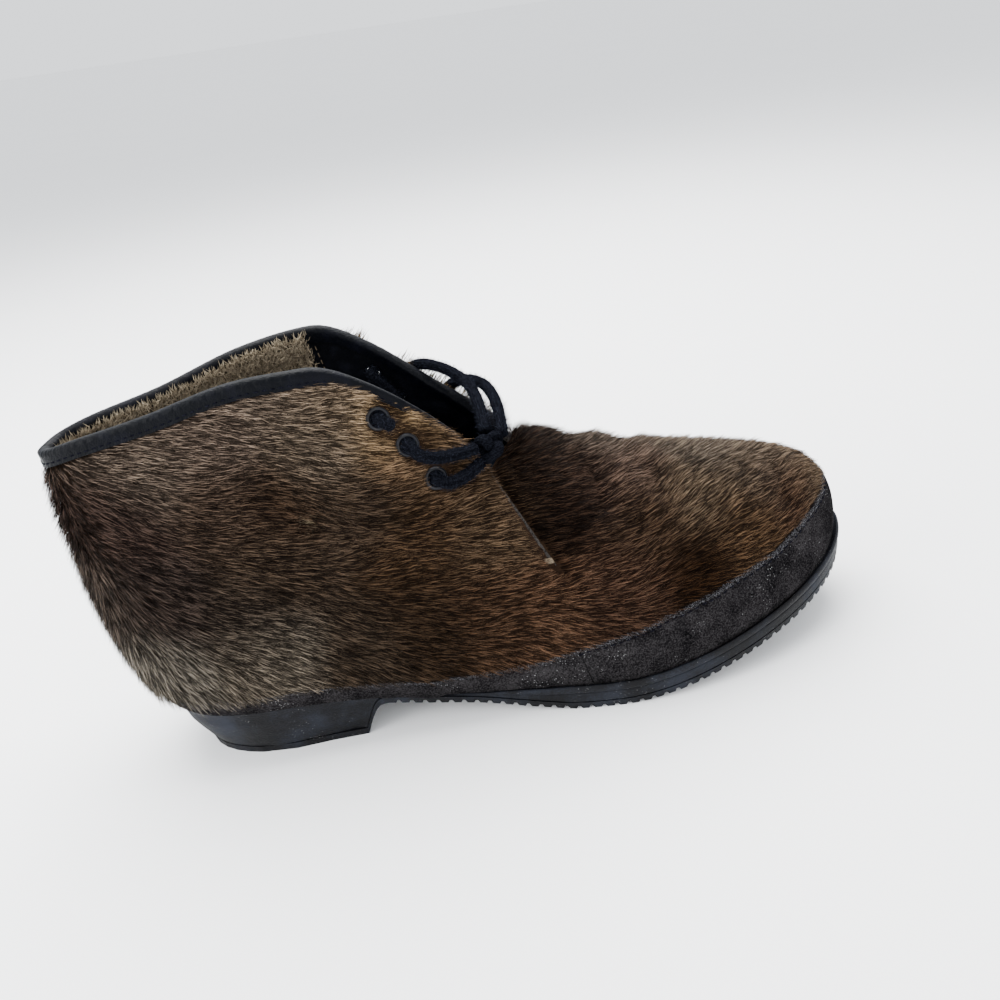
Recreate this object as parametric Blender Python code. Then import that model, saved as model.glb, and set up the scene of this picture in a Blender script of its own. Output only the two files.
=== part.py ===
"""Chukka boot of short-haired hide on a moulded rubber sole, for the right foot.

Metres. +X runs to the toe, +Y to the inner side of the foot and +Z up. The origin lies on the floor in the
middle of the heel's flat. Inside the functions x starts at the back of the heel, and ORIGIN is taken off when
a mesh is made. A rib is the line that climbs the upper from a place on the sole's outline to the collar, the
flap's edge or the ridge of the vamp. Its place is the share of the way round the outline, from the middle of
the heel (0) to the tip of the toe (1), on the outer (-1) or the inner (+1) side.
"""

import math

import bmesh
import bpy
import numpy as np
from mathutils import Matrix, Vector

MM = 0.001

# Driving sizes of the sole
SOLE_LENGTH = 285 * MM
BALL_WIDTH = 95 * MM
WAIST_WIDTH = 66 * MM
HEEL_WIDTH = 64 * MM
HEEL_LENGTH = 72 * MM
HEEL_HEIGHT = 14 * MM
HEEL_ROUND = 9 * MM
BREAST_RUN = 9 * MM
HEEL_TAPER_BACK = 7 * MM
HEEL_TAPER_SIDE = 2.5 * MM
SEAT_HEIGHT = 25 * MM
FOREFOOT_SOLE = 9.8 * MM
TOE_SPRING = 25 * MM
OUTSOLE_THICKNESS = 3 * MM
RIB_PITCH = 5 * MM
RIB_DEPTH = 1.2 * MM
LIP_HEIGHT = 1.6 * MM
LIP_SET_IN = 2.0 * MM

# Driving sizes of the upper
WALL = 2.5 * MM
FLAP_STEP = 1.5 * MM
UPPER_INSET_FORE = 4.2 * MM
UPPER_INSET_HEEL = 1.6 * MM
COLLAR_HEIGHT = 150 * MM
COLLAR_WIDTH = 56 * MM
VAMP_HEIGHT = 98 * MM
ANKLE_SWELL = 8 * MM

# Sizes of the pieces on the upper and in it
RAND_THICKNESS = 1.5 * MM
RAND_HEIGHT = 26 * MM
INSOLE_THICKNESS = 3 * MM
TONGUE_THICKNESS = 3 * MM
BINDING_LEG = 3.4 * MM
BINDING_THICKNESS = 0.9 * MM
BINDING_BEAD = 2.3 * MM
BINDING_CLEAR = 0.5 * MM
EYELET_BORE = 2.5 * MM
EYELET_WALL = 0.5 * MM
EYELET_FLANGE = 4.3 * MM
EYELET_LIP = 0.8 * MM
LACE_RADIUS = 2.2 * MM
GAP = 0.3 * MM
SEAT_GAP = 0.45 * MM

ORIGIN = Vector(((HEEL_ROUND + HEEL_LENGTH) / 2, 0, 0))
OUTER, INNER = -1, 1

# The sole's outline from above: share of the length, then outer and inner half widths as shares of a width
OUTLINE = (
    # along, outer, inner, width
    (0.025, 0.300, 0.290, HEEL_WIDTH),
    (0.090, 0.470, 0.450, HEEL_WIDTH),
    (0.190, 0.505, 0.475, HEEL_WIDTH),
    (0.380, 0.525, 0.410, WAIST_WIDTH),
    (0.530, 0.465, 0.380, BALL_WIDTH),
    (0.650, 0.530, 0.460, BALL_WIDTH),
    (0.770, 0.495, 0.470, BALL_WIDTH),
    (0.890, 0.365, 0.405, BALL_WIDTH),
    (0.970, 0.165, 0.280, BALL_WIDTH),
)
TOE_TIP = (1.0, 0.09)
SAMPLES = 600

# Height of the sole's top over the forefoot's, as a share of what the seat stands above it
SOLE_TOP = (
    # along, share
    (0.00, 1.00),
    (0.10, 0.97),
    (0.18, 0.88),
    (0.25, 0.72),
    (0.30, 0.55),
    (0.36, 0.27),
    (0.43, 0.09),
    (0.50, 0.00),
)
# Height of the waist's underside as a share of the heel's height
WAIST = (
    # along, share
    (0.29, 1.00),
    (0.35, 0.72),
    (0.42, 0.46),
    (0.48, 0.20),
    (0.54, 0.00),
)
ROCKER_START = 0.61
ROCKER_POWER = 1.5

FLAP_PLACE = 0.575
BINDING_END = 0.565
RIDGE_PLACE = 0.605
POLE_PLACE = 0.815
# Ribs that end at the collar or the flap's edge. Along and half are of the rib's top, on each side
QUARTER_RIBS = (
    # place, along outer, along inner, half outer, half inner, height, shaft, swell
    (0.000, -0.050, -0.050, 0.00, 0.00, 0.865, 1.0, 1.00),
    (0.060, -0.034, -0.034, 0.30, 0.28, 0.875, 1.0, 1.00),
    (0.120, 0.005, 0.005, 0.46, 0.38, 0.895, 1.0, 0.90),
    (0.200, 0.095, 0.095, 0.62, 0.46, 0.930, 1.0, 0.80),
    (0.290, 0.200, 0.200, 0.80, 0.68, 0.980, 1.0, 0.75),
    (0.370, 0.290, 0.290, 0.92, 0.92, 0.990, 1.0, 0.70),
    (0.440, 0.360, 0.360, 0.88, 0.86, 0.930, 0.9, 0.65),
    (0.505, 0.435, 0.445, 0.76, 0.72, 0.790, 0.7, 0.50),
    (0.545, 0.463, 0.500, 0.72, 0.58, 0.700, 0.5, 0.40),
    (0.575, 0.483, 0.528, 0.70, 0.44, 0.640, 0.4, 0.30),
)
# Ribs of the vamp, which end on its ridge, and from POLE_PLACE on at the ridge's end
VAMP_RIBS = (
    # place, along, swell
    (0.605, 0.530, 0.28),
    (0.660, 0.625, 0.22),
    (0.720, 0.730, 0.20),
    (0.770, 0.800, 0.20),
    (0.815, 0.850, 0.15),
    (1.000, 0.850, 0.10),
)
# Height of the vamp's ridge
RIDGE = (
    # along, share of the vamp's height
    (0.48, 1.085),
    (0.530, 1.035),
    (0.570, 0.995),
    (0.620, 0.940),
    (0.680, 0.880),
    (0.750, 0.825),
    (0.810, 0.780),
    (0.860, 0.735),
)
RIDGE_BEND = 4 * MM
# How square the sections are: a share of 1 is an ellipse and less is squarer
SQUARENESS = (
    # place, of the side, of the top
    (0.40, 1.00, 0.90),
    (0.60, 0.95, 0.86),
    (0.80, 0.85, 0.80),
    (1.00, 0.74, 0.78),
)
# Where the quarter's lower seam crosses the ribs
QUARTER_SEAM = (
    # place, share of the rib
    (0.33, -0.30),
    (0.38, 0.08),
    (0.45, 0.22),
    (0.52, 0.37),
    (0.575, 0.47),
)
# Height of the rand above the sole, as a share of its greatest height
RAND = (
    # place, share
    (0.000, 0.28),
    (0.150, 0.29),
    (0.300, 0.33),
    (0.420, 0.42),
    (0.520, 0.60),
    (0.600, 0.84),
    (0.700, 0.97),
    (0.850, 0.97),
    (1.000, 0.86),
)
RAND_JOINT = 0.545
RAND_SEAM = 0.0012
SEAM_RISE = 0.035
# Eyelets from the top down
EYELETS = (
    # place, share of the rib
    (0.435, 0.905),
    (0.455, 0.840),
    (0.470, 0.745),
)
# The tongue's sections from its top down, as shares of the ribs between which it lies under each flap
TONGUE = (
    # place, low, high
    (0.398, 0.70, 0.84),
    (0.430, 0.66, 0.82),
    (0.455, 0.58, 0.74),
    (0.475, 0.50, 0.63),
    (0.500, 0.49, 0.65),
    (0.530, 0.54, 0.75),
    (0.565, 0.60, 0.81),
    (0.590, 0.66, 0.81),
    (0.622, 0.68, 0.81),
)
TONGUE_ARCH = 0.1
# The runs to the knot, in millimetres from their own eyelet, passing to the lowest outer one
LACE_TO_KNOT = {
    2: (
        (3.3, -5.5, -2.2),
        (5.6, -5.1, -0.7),
        (9.5, -2.6, 1.2),
        (13.5, 1.0, 3.6),
        (16.2, 4.8, 6.1),
    ),
    3: (
        (3.6, -5.3, -0.4),
        (8.1, -3.8, -0.6),
        (13.1, 0.2, -0.2),
        (17.4, 4.4, 0.9),
    ),
}
BAR_RISE = 9 * MM
# Knot's middle and its half sizes, then the free ends, all in millimetres from the lowest outer eyelet
KNOT = ((21.1, 7.9, 4.4), (5.6, 5.6, 5.2))
LACE_ENDS = {
    "a": (
        (20.6, 12.1, 8.4),
        (21.0, 19.7, 12.0),
        (20.0, 32.7, 17.1),
        (16.4, 42.7, 20.4),
        (9.7, 51.2, 23.0),
        (2.6, 57.7, 23.6),
        (-2.9, 62.2, 21.1),
        (-5.4, 64.2, 16.6),
    ),
    "b": (
        (26.7, 11.3, 6.6),
        (27.3, 18.7, 9.4),
        (27.4, 28.7, 13.5),
        (25.1, 41.7, 15.8),
        (19.1, 51.2, 16.0),
        (12.1, 58.2, 12.6),
        (8.6, 61.2, 7.1),
    ),
}


def smooth(x, xs, ys):
    """A curve through the points (xs, ys) that never overshoots them."""
    x, xs, ys = np.asarray(x, float), np.asarray(xs, float), np.asarray(ys, float)
    step = np.diff(xs)
    slope = np.diff(ys) / step
    tangent = np.concatenate([slope[:1], (slope[1:] + slope[:-1]) / 2, slope[-1:]])
    flat = np.sign(slope[1:]) != np.sign(slope[:-1])
    tangent[1:-1][flat] = 0
    limit = 3 * np.minimum(np.abs(np.append(slope, slope[-1])), np.abs(np.insert(slope, 0, slope[0])))
    tangent = np.clip(tangent, -limit, limit)
    i = np.clip(np.searchsorted(xs, x, side="right") - 1, 0, len(step) - 1)
    t = np.clip((x - xs[i]) / step[i], 0, 1)
    rise = ys[i + 1] - ys[i]
    start, end = tangent[i] * step[i], tangent[i + 1] * step[i]
    return ys[i] + t * (start + t * (3 * rise - 2 * start - end + t * (start + end - 2 * rise)))


def closed_spline(points, count):
    """A smooth closed curve through points, as count + 1 samples."""
    points = np.asarray(points, float)
    n = len(points)
    gaps = np.linalg.norm(np.roll(points, -1, axis=0) - points, axis=1) ** 0.6
    matrix, right = np.zeros((n, n)), np.zeros((n, 2))
    for i in range(n):
        before, after = gaps[i - 1], gaps[i]
        matrix[i, i - 1] = 1 / before
        matrix[i, i] = 2 / before + 2 / after
        matrix[i, (i + 1) % n] = 1 / after
        to_here = (points[i] - points[i - 1]) / before**2
        from_here = (points[(i + 1) % n] - points[i]) / after**2
        right[i] = 3 * (to_here + from_here)
    slopes = np.linalg.solve(matrix, right)
    knots = np.concatenate([[0], np.cumsum(gaps)])
    at = np.linspace(0, knots[-1], count + 1)
    i = np.clip(np.searchsorted(knots, at, side="right") - 1, 0, n - 1)
    t = ((at - knots[i]) / gaps[i])[:, None]
    j = (i + 1) % n
    start, end = slopes[i] * gaps[i][:, None], slopes[j] * gaps[i][:, None]
    rise = points[j] - points[i]
    return points[i] + t * (start + t * (3 * rise - 2 * start - end + t * (start + end - 2 * rise)))


def outline_sides():
    """For each side, the outline from the heel's middle to the toe's tip: shares of the way, points and the
    directions that point into the sole."""
    outer = [(a * SOLE_LENGTH, -o * w) for a, o, _, w in OUTLINE]
    inner = [(a * SOLE_LENGTH, i * w) for a, _, i, w in OUTLINE]
    tip = (TOE_TIP[0] * SOLE_LENGTH, TOE_TIP[1] * BALL_WIDTH)
    loop = closed_spline([(0, 0), *outer, tip, *reversed(inner)], SAMPLES)
    tangent = np.gradient(loop, axis=0)
    tangent /= np.linalg.norm(tangent, axis=1)[:, None]
    inwards = np.stack([-tangent[:, 1], tangent[:, 0]], axis=1)
    turn = int(np.argmin(np.linalg.norm(loop - tip, axis=1)))
    sides = {}
    for side, part in ((OUTER, slice(0, turn + 1)), (INNER, slice(SAMPLES, turn - 1, -1))):
        points = loop[part]
        run = np.concatenate([[0], np.cumsum(np.linalg.norm(np.diff(points, axis=0), axis=1))])
        sides[side] = (run / run[-1], points, inwards[part])
    return sides


SIDES = outline_sides()


def edge(side, place, inset=0.0):
    """Points x, y on the sole's outline, moved inwards by inset."""
    shares, points, inwards = SIDES[side]
    x, y = (np.interp(place, shares, points[:, k]) for k in (0, 1))
    dx, dy = (np.interp(place, shares, inwards[:, k]) for k in (0, 1))
    length = np.hypot(dx, dy)
    return x + inset * dx / length, y + inset * dy / length


def place_at(side, x):
    """The place on a side whose outline point has this x."""
    shares, points, _ = SIDES[side]
    return float(np.interp(x, points[:, 0], shares))


def rocker(x):
    """How far the sole has risen towards the toe."""
    share = np.clip((x / SOLE_LENGTH - ROCKER_START) / (1 - ROCKER_START), 0, 1)
    return TOE_SPRING * share**ROCKER_POWER


def sole_top(x):
    """Height of the sole's top, which the upper and the rand stand on."""
    along, share = zip(*SOLE_TOP)
    return FOREFOOT_SOLE + (SEAT_HEIGHT - FOREFOOT_SOLE) * smooth(x / SOLE_LENGTH, along, share) + rocker(x)


def sole_bottom(x):
    """Height of the outsole's underside: heel, breast, waist, tread and toe."""
    x = np.asarray(x, float)
    along, share = zip(*WAIST)
    waist = HEEL_HEIGHT * smooth(x / SOLE_LENGTH, along, share)
    breast = np.clip((x - HEEL_LENGTH) / BREAST_RUN, 0, 1)
    back = np.clip(1 - x / HEEL_ROUND, 0, 1)
    return waist * np.sin(breast * math.pi / 2) + 0.3 * HEEL_ROUND * back**2 + rocker(x)


def heel_taper(place):
    """How far the heel's foot stands in from its top."""
    back = np.clip(1 - place / 0.16, 0, 1)
    side = np.clip((place_at(OUTER, HEEL_LENGTH + BREAST_RUN) - place) / 0.04, 0, 1)
    return HEEL_TAPER_SIDE * side + (HEEL_TAPER_BACK - HEEL_TAPER_SIDE) * back**0.7


def forefoot(place):
    """0 at the heel and the waist, 1 from the ball on."""
    t = np.clip((np.asarray(place, float) - 0.36) / 0.16, 0, 1)
    return t * t * (3 - 2 * t)


def upper_inset(place):
    """How far the upper's foot stands in from the sole's edge."""
    return UPPER_INSET_HEEL + (UPPER_INSET_FORE - UPPER_INSET_HEEL) * forefoot(place)


def ridge_height(along):
    """Height of the vamp's ridge at a share of the sole's length."""
    xs, shares = zip(*RIDGE)
    return VAMP_HEIGHT * smooth(along, xs, shares)


def ridge_slope(along):
    """How steeply the ridge runs, as height gained for each length along."""
    return (ridge_height(along + 0.004) - ridge_height(along - 0.004)) / (0.008 * SOLE_LENGTH)


def ridge_y(along):
    """The ridge bends to the inner side towards the toe."""
    return RIDGE_BEND * np.clip((along - 0.55) / 0.3, 0, 1) ** 2


def top_line(side, place):
    """Where the ribs of a side end: on the collar, the flap's edge or the ridge."""
    place = np.asarray(place, float)
    q, v = list(zip(*QUARTER_RIBS)), list(zip(*VAMP_RIBS))
    along_column, half_column = (1, 3) if side == OUTER else (2, 4)
    on_flap = place <= FLAP_PLACE
    blend = np.clip((place - FLAP_PLACE) / (RIDGE_PLACE - FLAP_PLACE), 0, 1)

    def joined(of_quarter, of_vamp):
        return np.where(on_flap, of_quarter, (1 - blend) * of_quarter + blend * of_vamp)

    along = joined(smooth(place, q[0], q[along_column]), smooth(place, v[0], v[1]))
    half = joined(smooth(place, q[0], q[half_column]), 0)
    height = joined(COLLAR_HEIGHT * smooth(place, q[0], q[5]), ridge_height(along))
    y = side * half * COLLAR_WIDTH / 2 + joined(0, ridge_y(along))
    return np.stack([along * SOLE_LENGTH, y, height], axis=-1)


def form(side, place, share):
    """The upper's form: a point for a place on the outline and a share of the rib, 0 at the sole and 1 at the
    top."""
    place, share = np.broadcast_arrays(np.asarray(place, float), np.asarray(share, float))
    q, v = list(zip(*QUARTER_RIBS)), list(zip(*VAMP_RIBS))
    blend = np.clip((place - FLAP_PLACE) / (RIDGE_PLACE - FLAP_PLACE), 0, 1)
    foot_x, foot_y = edge(side, place, upper_inset(place))
    foot_z = sole_top(foot_x) + SEAT_GAP
    top = top_line(side, place)
    shaft = smooth(place, q[0], q[6]) * (1 - blend)
    swell = (1 - blend) * smooth(place, q[0], q[7]) + blend * smooth(place, v[0], v[2])
    at, of_side, of_top = zip(*SQUARENESS)
    angle = share * math.pi / 2
    inwards = 1 - np.cos(angle) ** smooth(place, at, of_side)
    inwards = np.where(share >= 1, 1.0, inwards)
    inwards = shaft * share + (1 - shaft) * inwards
    upwards = shaft * share + (1 - shaft) * np.sin(angle) ** smooth(place, at, of_top)
    straight = np.maximum(shaft, np.clip((place - POLE_PLACE + 0.03) / 0.03, 0, 1))
    forwards = inwards + (1 - straight) * (inwards - inwards**2)
    out_x, out_y = edge(side, place, -1.0)
    edge_x, edge_y = edge(side, place)
    bulge = ANKLE_SWELL * swell * np.sin(math.pi * share**0.6)
    x = foot_x + (top[..., 0] - foot_x) * forwards + (out_x - edge_x) * bulge
    y = foot_y + (top[..., 1] - foot_y) * inwards + (out_y - edge_y) * bulge
    slope = ridge_slope(top[..., 0] / SOLE_LENGTH)
    z = foot_z + (top[..., 2] - foot_z) * upwards + blend * slope * (x - top[..., 0]) * share**2
    return np.stack([x, y, z], axis=-1)


def outwards(side, place, share):
    """Unit directions that point out of the form."""
    place, share = np.broadcast_arrays(np.asarray(place, float), np.asarray(share, float))
    step = 0.002
    low, high = np.clip(share - step, 0, 0.985), np.clip(share + step, 0.004, 0.99)
    before, after = np.clip(place - step, 0, 1), np.clip(place + step, 0, 1)
    crosses = (place <= FLAP_PLACE) & (after > FLAP_PLACE)
    after = np.where(crosses, place, after)
    before = np.where((place > FLAP_PLACE) & (before <= FLAP_PLACE), place, before)
    mid = np.clip(share, 0, 0.985)
    up = form(side, place, high) - form(side, place, low)
    on = form(side, after, mid) - form(side, before, mid)
    normal = side * np.cross(up, on)
    normal = normal / np.linalg.norm(normal, axis=-1, keepdims=True)
    along = top_line(side, place)[..., 0] / SOLE_LENGTH
    fall = -ridge_slope(along)
    upright = np.stack([fall, np.zeros_like(fall), np.ones_like(fall)], axis=-1)
    upright = upright / np.linalg.norm(upright, axis=-1, keepdims=True)
    on_ridge = (share >= 1) & (place >= RIDGE_PLACE)
    out_x, out_y = edge(side, place, -1.0)
    edge_x, edge_y = edge(side, place)
    level = np.stack([out_x - edge_x, out_y - edge_y, np.zeros_like(out_x)], axis=-1)
    normal = np.where((share <= 0)[..., None], level, normal)
    return np.where(on_ridge[..., None], upright, normal)


def seam_share(place):
    """The share of a rib at which the quarter's lower seam crosses it, never under the rand."""
    at, seam = zip(*QUARTER_SEAM)
    return smooth(np.minimum(place, FLAP_PLACE), at, seam)


def quarter_cover(place, share):
    """1 where the quarter lies over the vamp or stands alone, 0 on the bare vamp."""
    above = np.clip((share - seam_share(place)) / SEAM_RISE, 0, 1)
    return np.where(np.asarray(place) <= FLAP_PLACE, above, 0.0)


def skin(side, place, share, height=0.0):
    """A point on the upper's outer face, lifted by height."""
    lift = FLAP_STEP * quarter_cover(place, share) + height
    return form(side, place, share) + outwards(side, place, share) * np.asarray(lift)[..., None]


def lining(side, place, share, height=0.0):
    """A point on the upper's inner face, moved inwards by -height."""
    fades = np.clip((FLAP_PLACE - 0.01 - np.asarray(place)) / 0.05, 0, 1)
    lift = FLAP_STEP * quarter_cover(place, share) * fades - WALL + height
    return form(side, place, share) + outwards(side, place, share) * np.asarray(lift)[..., None]


def share_at_height(side, place, height):
    """The share of one rib at which it stands this high above the sole."""
    shares = np.linspace(0, 1, 120)
    z = form(side, np.full_like(shares, place), shares)[:, 2]
    return float(np.interp(height, z - z[0], shares))


def collection(name):
    """A new collection in the scene."""
    made = bpy.data.collections.new(name)
    bpy.context.scene.collection.children.link(made)
    return made


def material(name, colour, roughness, metallic=0.0):
    """A plain finish."""
    made = bpy.data.materials.new(name)
    made.use_nodes = True
    shader = made.node_tree.nodes["Principled BSDF"]
    shader.inputs["Base Color"].default_value = (*colour, 1)
    shader.inputs["Roughness"].default_value = roughness
    shader.inputs["Metallic"].default_value = metallic
    return made


def mesh_object(name, points, faces, finish, where):
    """An object of the given points and faces, closed at its shared points and facing out."""
    mesh = bpy.data.meshes.new(name)
    mesh.from_pydata([Vector(p) - ORIGIN for p in points], [], faces)
    shape = bmesh.new()
    shape.from_mesh(mesh)
    bmesh.ops.remove_doubles(shape, verts=shape.verts, dist=0.00002)
    bmesh.ops.dissolve_degenerate(shape, edges=shape.edges, dist=0.000001)
    bmesh.ops.recalc_face_normals(shape, faces=shape.faces)
    shape.to_mesh(mesh)
    shape.free()
    mesh.shade_smooth()
    mesh.set_sharp_from_angle(angle=math.radians(40))
    mesh.materials.append(finish)
    made = bpy.data.objects.new(name, mesh)
    where.objects.link(made)
    return made


def grid_faces(rows, columns, first=0, closed=False):
    """Quads of a grid whose point (row, column) has the index first + row * columns + column."""
    last = columns if closed else columns - 1
    return [
        (
            first + r * columns + c,
            first + r * columns + (c + 1) % columns,
            first + (r + 1) * columns + (c + 1) % columns,
            first + (r + 1) * columns + c,
        )
        for r in range(rows - 1)
        for c in range(last)
    ]


def swept(name, sections, finish, where):
    """A solid through closed sections with the same number of points, capped at both ends."""
    sections = np.asarray(sections, float)
    count, around = sections.shape[:2]
    faces = grid_faces(count, around, closed=True)
    faces.append(tuple(range(around)))
    faces.append(tuple((count - 1) * around + k for k in range(around)))
    return mesh_object(name, sections.reshape(-1, 3), faces, finish, where)


def plate(name, rings, finish, where):
    """A solid stacked from rings round the sole. A ring runs up the outer side and back down the inner one."""
    rings = np.asarray(rings, float)
    count, around = rings.shape[:2]
    faces = grid_faces(count, around, closed=True)
    half = around // 2
    for ring in (0, count - 1):
        for k in range(half):
            corners = (k, k + 1, (around - k - 1) % around, (around - k) % around)
            distinct = list(dict.fromkeys(ring * around + c for c in corners))
            faces.append(tuple(distinct))
    return mesh_object(name, rings.reshape(-1, 3), faces, finish, where)


def ring(places, inset, height):
    """A ring round the sole, where inset and height are functions of the place and of the place and x.

    The inner side has its points straight across from the outer ones, so that grooves run straight too.
    """
    across = np.interp(edge(OUTER, places)[0], SIDES[INNER][1][:, 0], SIDES[INNER][0])
    back = slice(-2, 0, -1)
    rows = []
    for side, part, named in ((OUTER, places, places), (INNER, across[back], places[back])):
        x, y = edge(side, part, inset(named))
        rows.append(np.stack([x, y, height(named, x)], axis=-1))
    return np.concatenate(rows)


def sole_places():
    """Places along a side, closer together at the heel's back, its breast and the toe."""
    breast = place_at(OUTER, HEEL_LENGTH)
    run = place_at(OUTER, HEEL_LENGTH + BREAST_RUN)
    parts = (
        np.linspace(0, 0.14, 8),
        np.linspace(0.14, breast, 4)[1:],
        np.linspace(breast, run, 6)[1:],
        np.linspace(run, 0.8, 20)[1:],
        np.linspace(0.8, 1, 11)[1:],
    )
    return np.concatenate(parts)


def build_midsole(finish, where):
    """The moulded midsole with the heel block in one, and the raised lip that runs round the forefoot."""
    places = sole_places()

    def rim(inset_fore, inset_heel, lift):
        def inset(place):
            return inset_heel + (inset_fore - inset_heel) * forefoot(place)

        def height(place, x):
            return sole_top(x) + lift * forefoot(place)

        return ring(places, inset, height)

    def foot(extra):
        return ring(
            places,
            lambda place: heel_taper(place) + extra * forefoot(place),
            lambda place, x: sole_bottom(x) + OUTSOLE_THICKNESS + 2 * GAP,
        )

    lip, line = LIP_HEIGHT, 1.0 * MM
    rings = [
        rim(LIP_SET_IN, 1.6 * MM, 0),
        rim(LIP_SET_IN * 0.45, 0.6 * MM, lip * 0.6),
        rim(0, 0, 0),
        rim(0.1 * MM, 0.1 * MM, -lip),
        rim(0.9 * MM, 0.4 * MM, -lip - line * 0.6),
        rim(0.5 * MM, 0.5 * MM, -lip - line * 1.4),
        foot(0.4 * MM),
    ]
    rings[4] = blend_to_heel(rings[4], places, 0.25)
    rings[5] = blend_to_heel(rings[5], places, 0.45)
    rings[3] = blend_to_heel(rings[3], places, 0.12)
    return plate("midsole", rings, finish, where)


def blend_to_heel(points, places, share):
    """Lowers a ring of the sole's side evenly where the heel is deep and the waist thin."""
    weight = np.concatenate([1 - forefoot(places), 1 - forefoot(places[-2:0:-1])])
    x = points[:, 0]
    depth = sole_top(x) - sole_bottom(x) - OUTSOLE_THICKNESS - GAP
    points = points.copy()
    points[:, 2] = (1 - weight) * points[:, 2] + weight * (sole_top(x) - share * depth)
    return points


def tread_places():
    """Places and depths of the outsole's underside: four places for each rib, none under the heel."""
    start = place_at(OUTER, HEEL_LENGTH + BREAST_RUN * 1.2)
    run = SIDES[OUTER][1]
    length = float(np.sum(np.linalg.norm(np.diff(run, axis=0), axis=1)))
    pitch = RIB_PITCH / length
    count = int((0.985 - start) / pitch)
    places, depths = [], []
    for k in range(count):
        for step, depth in ((0.0, 0.0), (0.52, 0.0), (0.66, 1.0), (0.86, 1.0)):
            places.append(start + (k + step) * pitch)
            depths.append(depth * RIB_DEPTH)
    head = [p for p in sole_places() if p < start]
    return np.array(head + places + [1.0]), np.array([0.0] * len(head) + depths + [0.0])


def build_outsole(finish, where):
    """The thin ribbed sheet under the tread, the waist, the breast and the heel."""
    places, depths = tread_places()

    def lowered(place, x):
        return sole_bottom(x) + np.interp(place, places, depths)

    def inset(place):
        return heel_taper(place) + 0.4 * MM * forefoot(place)

    coarse = sole_places()
    flat = ring(coarse, inset, lambda place, x: sole_bottom(x) + OUTSOLE_THICKNESS)
    trip, around = np.concatenate([coarse, 2 - coarse[-2::-1]]), np.concatenate([flat, flat[:1]])
    finer = np.concatenate([places, 2 - places[-2:0:-1]])
    top = np.stack([np.interp(finer, trip, around[:, k]) for k in range(3)], axis=-1)
    rings = [top, ring(places, lambda place: inset(place) + 0.4 * MM, lowered)]
    return plate("outsole", rings, finish, where)


def build_insole(finish, where):
    """The flat board and sock that close the upper from inside."""
    places = sole_places()

    def inset(place):
        return upper_inset(place) + WALL + 2 * GAP

    rings = [
        ring(places, inset, lambda place, x: sole_top(x) + SEAT_GAP + INSOLE_THICKNESS),
        ring(places, inset, lambda place, x: sole_top(x) + SEAT_GAP),
    ]
    return plate("insole", rings, finish, where)


def upper_places():
    """Places of the upper's ribs along a side. The flap's edge has two, so that the wall steps there."""
    return np.concatenate(
        [
            np.linspace(0, 0.14, 5),
            np.linspace(0.14, RAND_JOINT - RAND_SEAM, 12)[1:],
            [RAND_JOINT + RAND_SEAM, BINDING_END, FLAP_PLACE, FLAP_PLACE + 0.0008],
            np.linspace(RIDGE_PLACE, POLE_PLACE, 7),
            np.linspace(POLE_PLACE, 1, 8)[1:],
        ]
    )


ROWS_BELOW_RAND, ROWS_TO_SEAM, ROWS_ABOVE = 4, 3, 7
ROWS = ROWS_BELOW_RAND + ROWS_TO_SEAM + 1 + ROWS_ABOVE


def rand_top(side, place):
    """The share of a rib at which the rand ends."""
    at, share = zip(*RAND)
    return share_at_height(side, place, RAND_HEIGHT * float(smooth(place, at, share)))


def row_shares(side, place):
    """The upper's rows on one rib: they follow the rand's top and the quarter's seam."""
    rand = rand_top(side, place)
    seam = max(float(seam_share(place)), rand + 0.03)
    parts = (
        np.linspace(0, rand, ROWS_BELOW_RAND + 1),
        np.linspace(rand, seam, ROWS_TO_SEAM + 1)[1:],
        [seam + SEAM_RISE],
        np.linspace(seam + SEAM_RISE, 1, ROWS_ABOVE + 1)[1:],
    )
    return np.concatenate(parts)


def build_upper(finish, where):
    """The quarters and the vamp as one wall, open at the collar, the throat and the sole."""
    places = upper_places()
    trail = [(OUTER, p) for p in places] + [(INNER, p) for p in places[-2:0:-1]]
    outer = np.array([skin(side, np.full(ROWS + 1, p), row_shares(side, p)) for side, p in trail])
    inner = np.array([lining(side, np.full(ROWS + 1, p), row_shares(side, p)) for side, p in trail])
    outer[:, 0, 2] = inner[:, 0, 2] = [sole_top(p[0]) + SEAT_GAP for p in outer[:, 0]]
    count, rows = len(trail), ROWS + 1
    points = np.concatenate([outer.reshape(-1, 3), inner.reshape(-1, 3)])
    faces = []
    for c in range(count):
        here, there = c * rows, ((c + 1) % count) * rows
        back = count * rows
        for r in range(ROWS):
            faces.append((here + r, there + r, there + r + 1, here + r + 1))
            faces.append((back + here + r, back + here + r + 1, back + there + r + 1, back + there + r))
        faces.append((here, back + here, back + there, there))
        ends = (trail[c][1], trail[(c + 1) % count][1])
        if min(ends) < RIDGE_PLACE:
            faces.append((here + ROWS, there + ROWS, back + there + ROWS, back + here + ROWS))
    return mesh_object("upper", points, faces, finish, where)


def eyelet_seats():
    """For each eyelet: its name, the point on the quarter's face and the direction out of it."""
    seats = []
    for side, word in ((OUTER, "outer"), (INNER, "inner")):
        for k, (place, share) in enumerate(EYELETS):
            point = Vector(skin(side, np.array(place), np.array(share)))
            seats.append((f"eyelet_{word}_{k + 1}", point, Vector(outwards(side, np.array(place), np.array(share)))))
    return seats


def turned(direction):
    """The rotation that stands +Z along a direction."""
    return direction.to_track_quat("Z", "Y").to_matrix().to_4x4()


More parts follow.
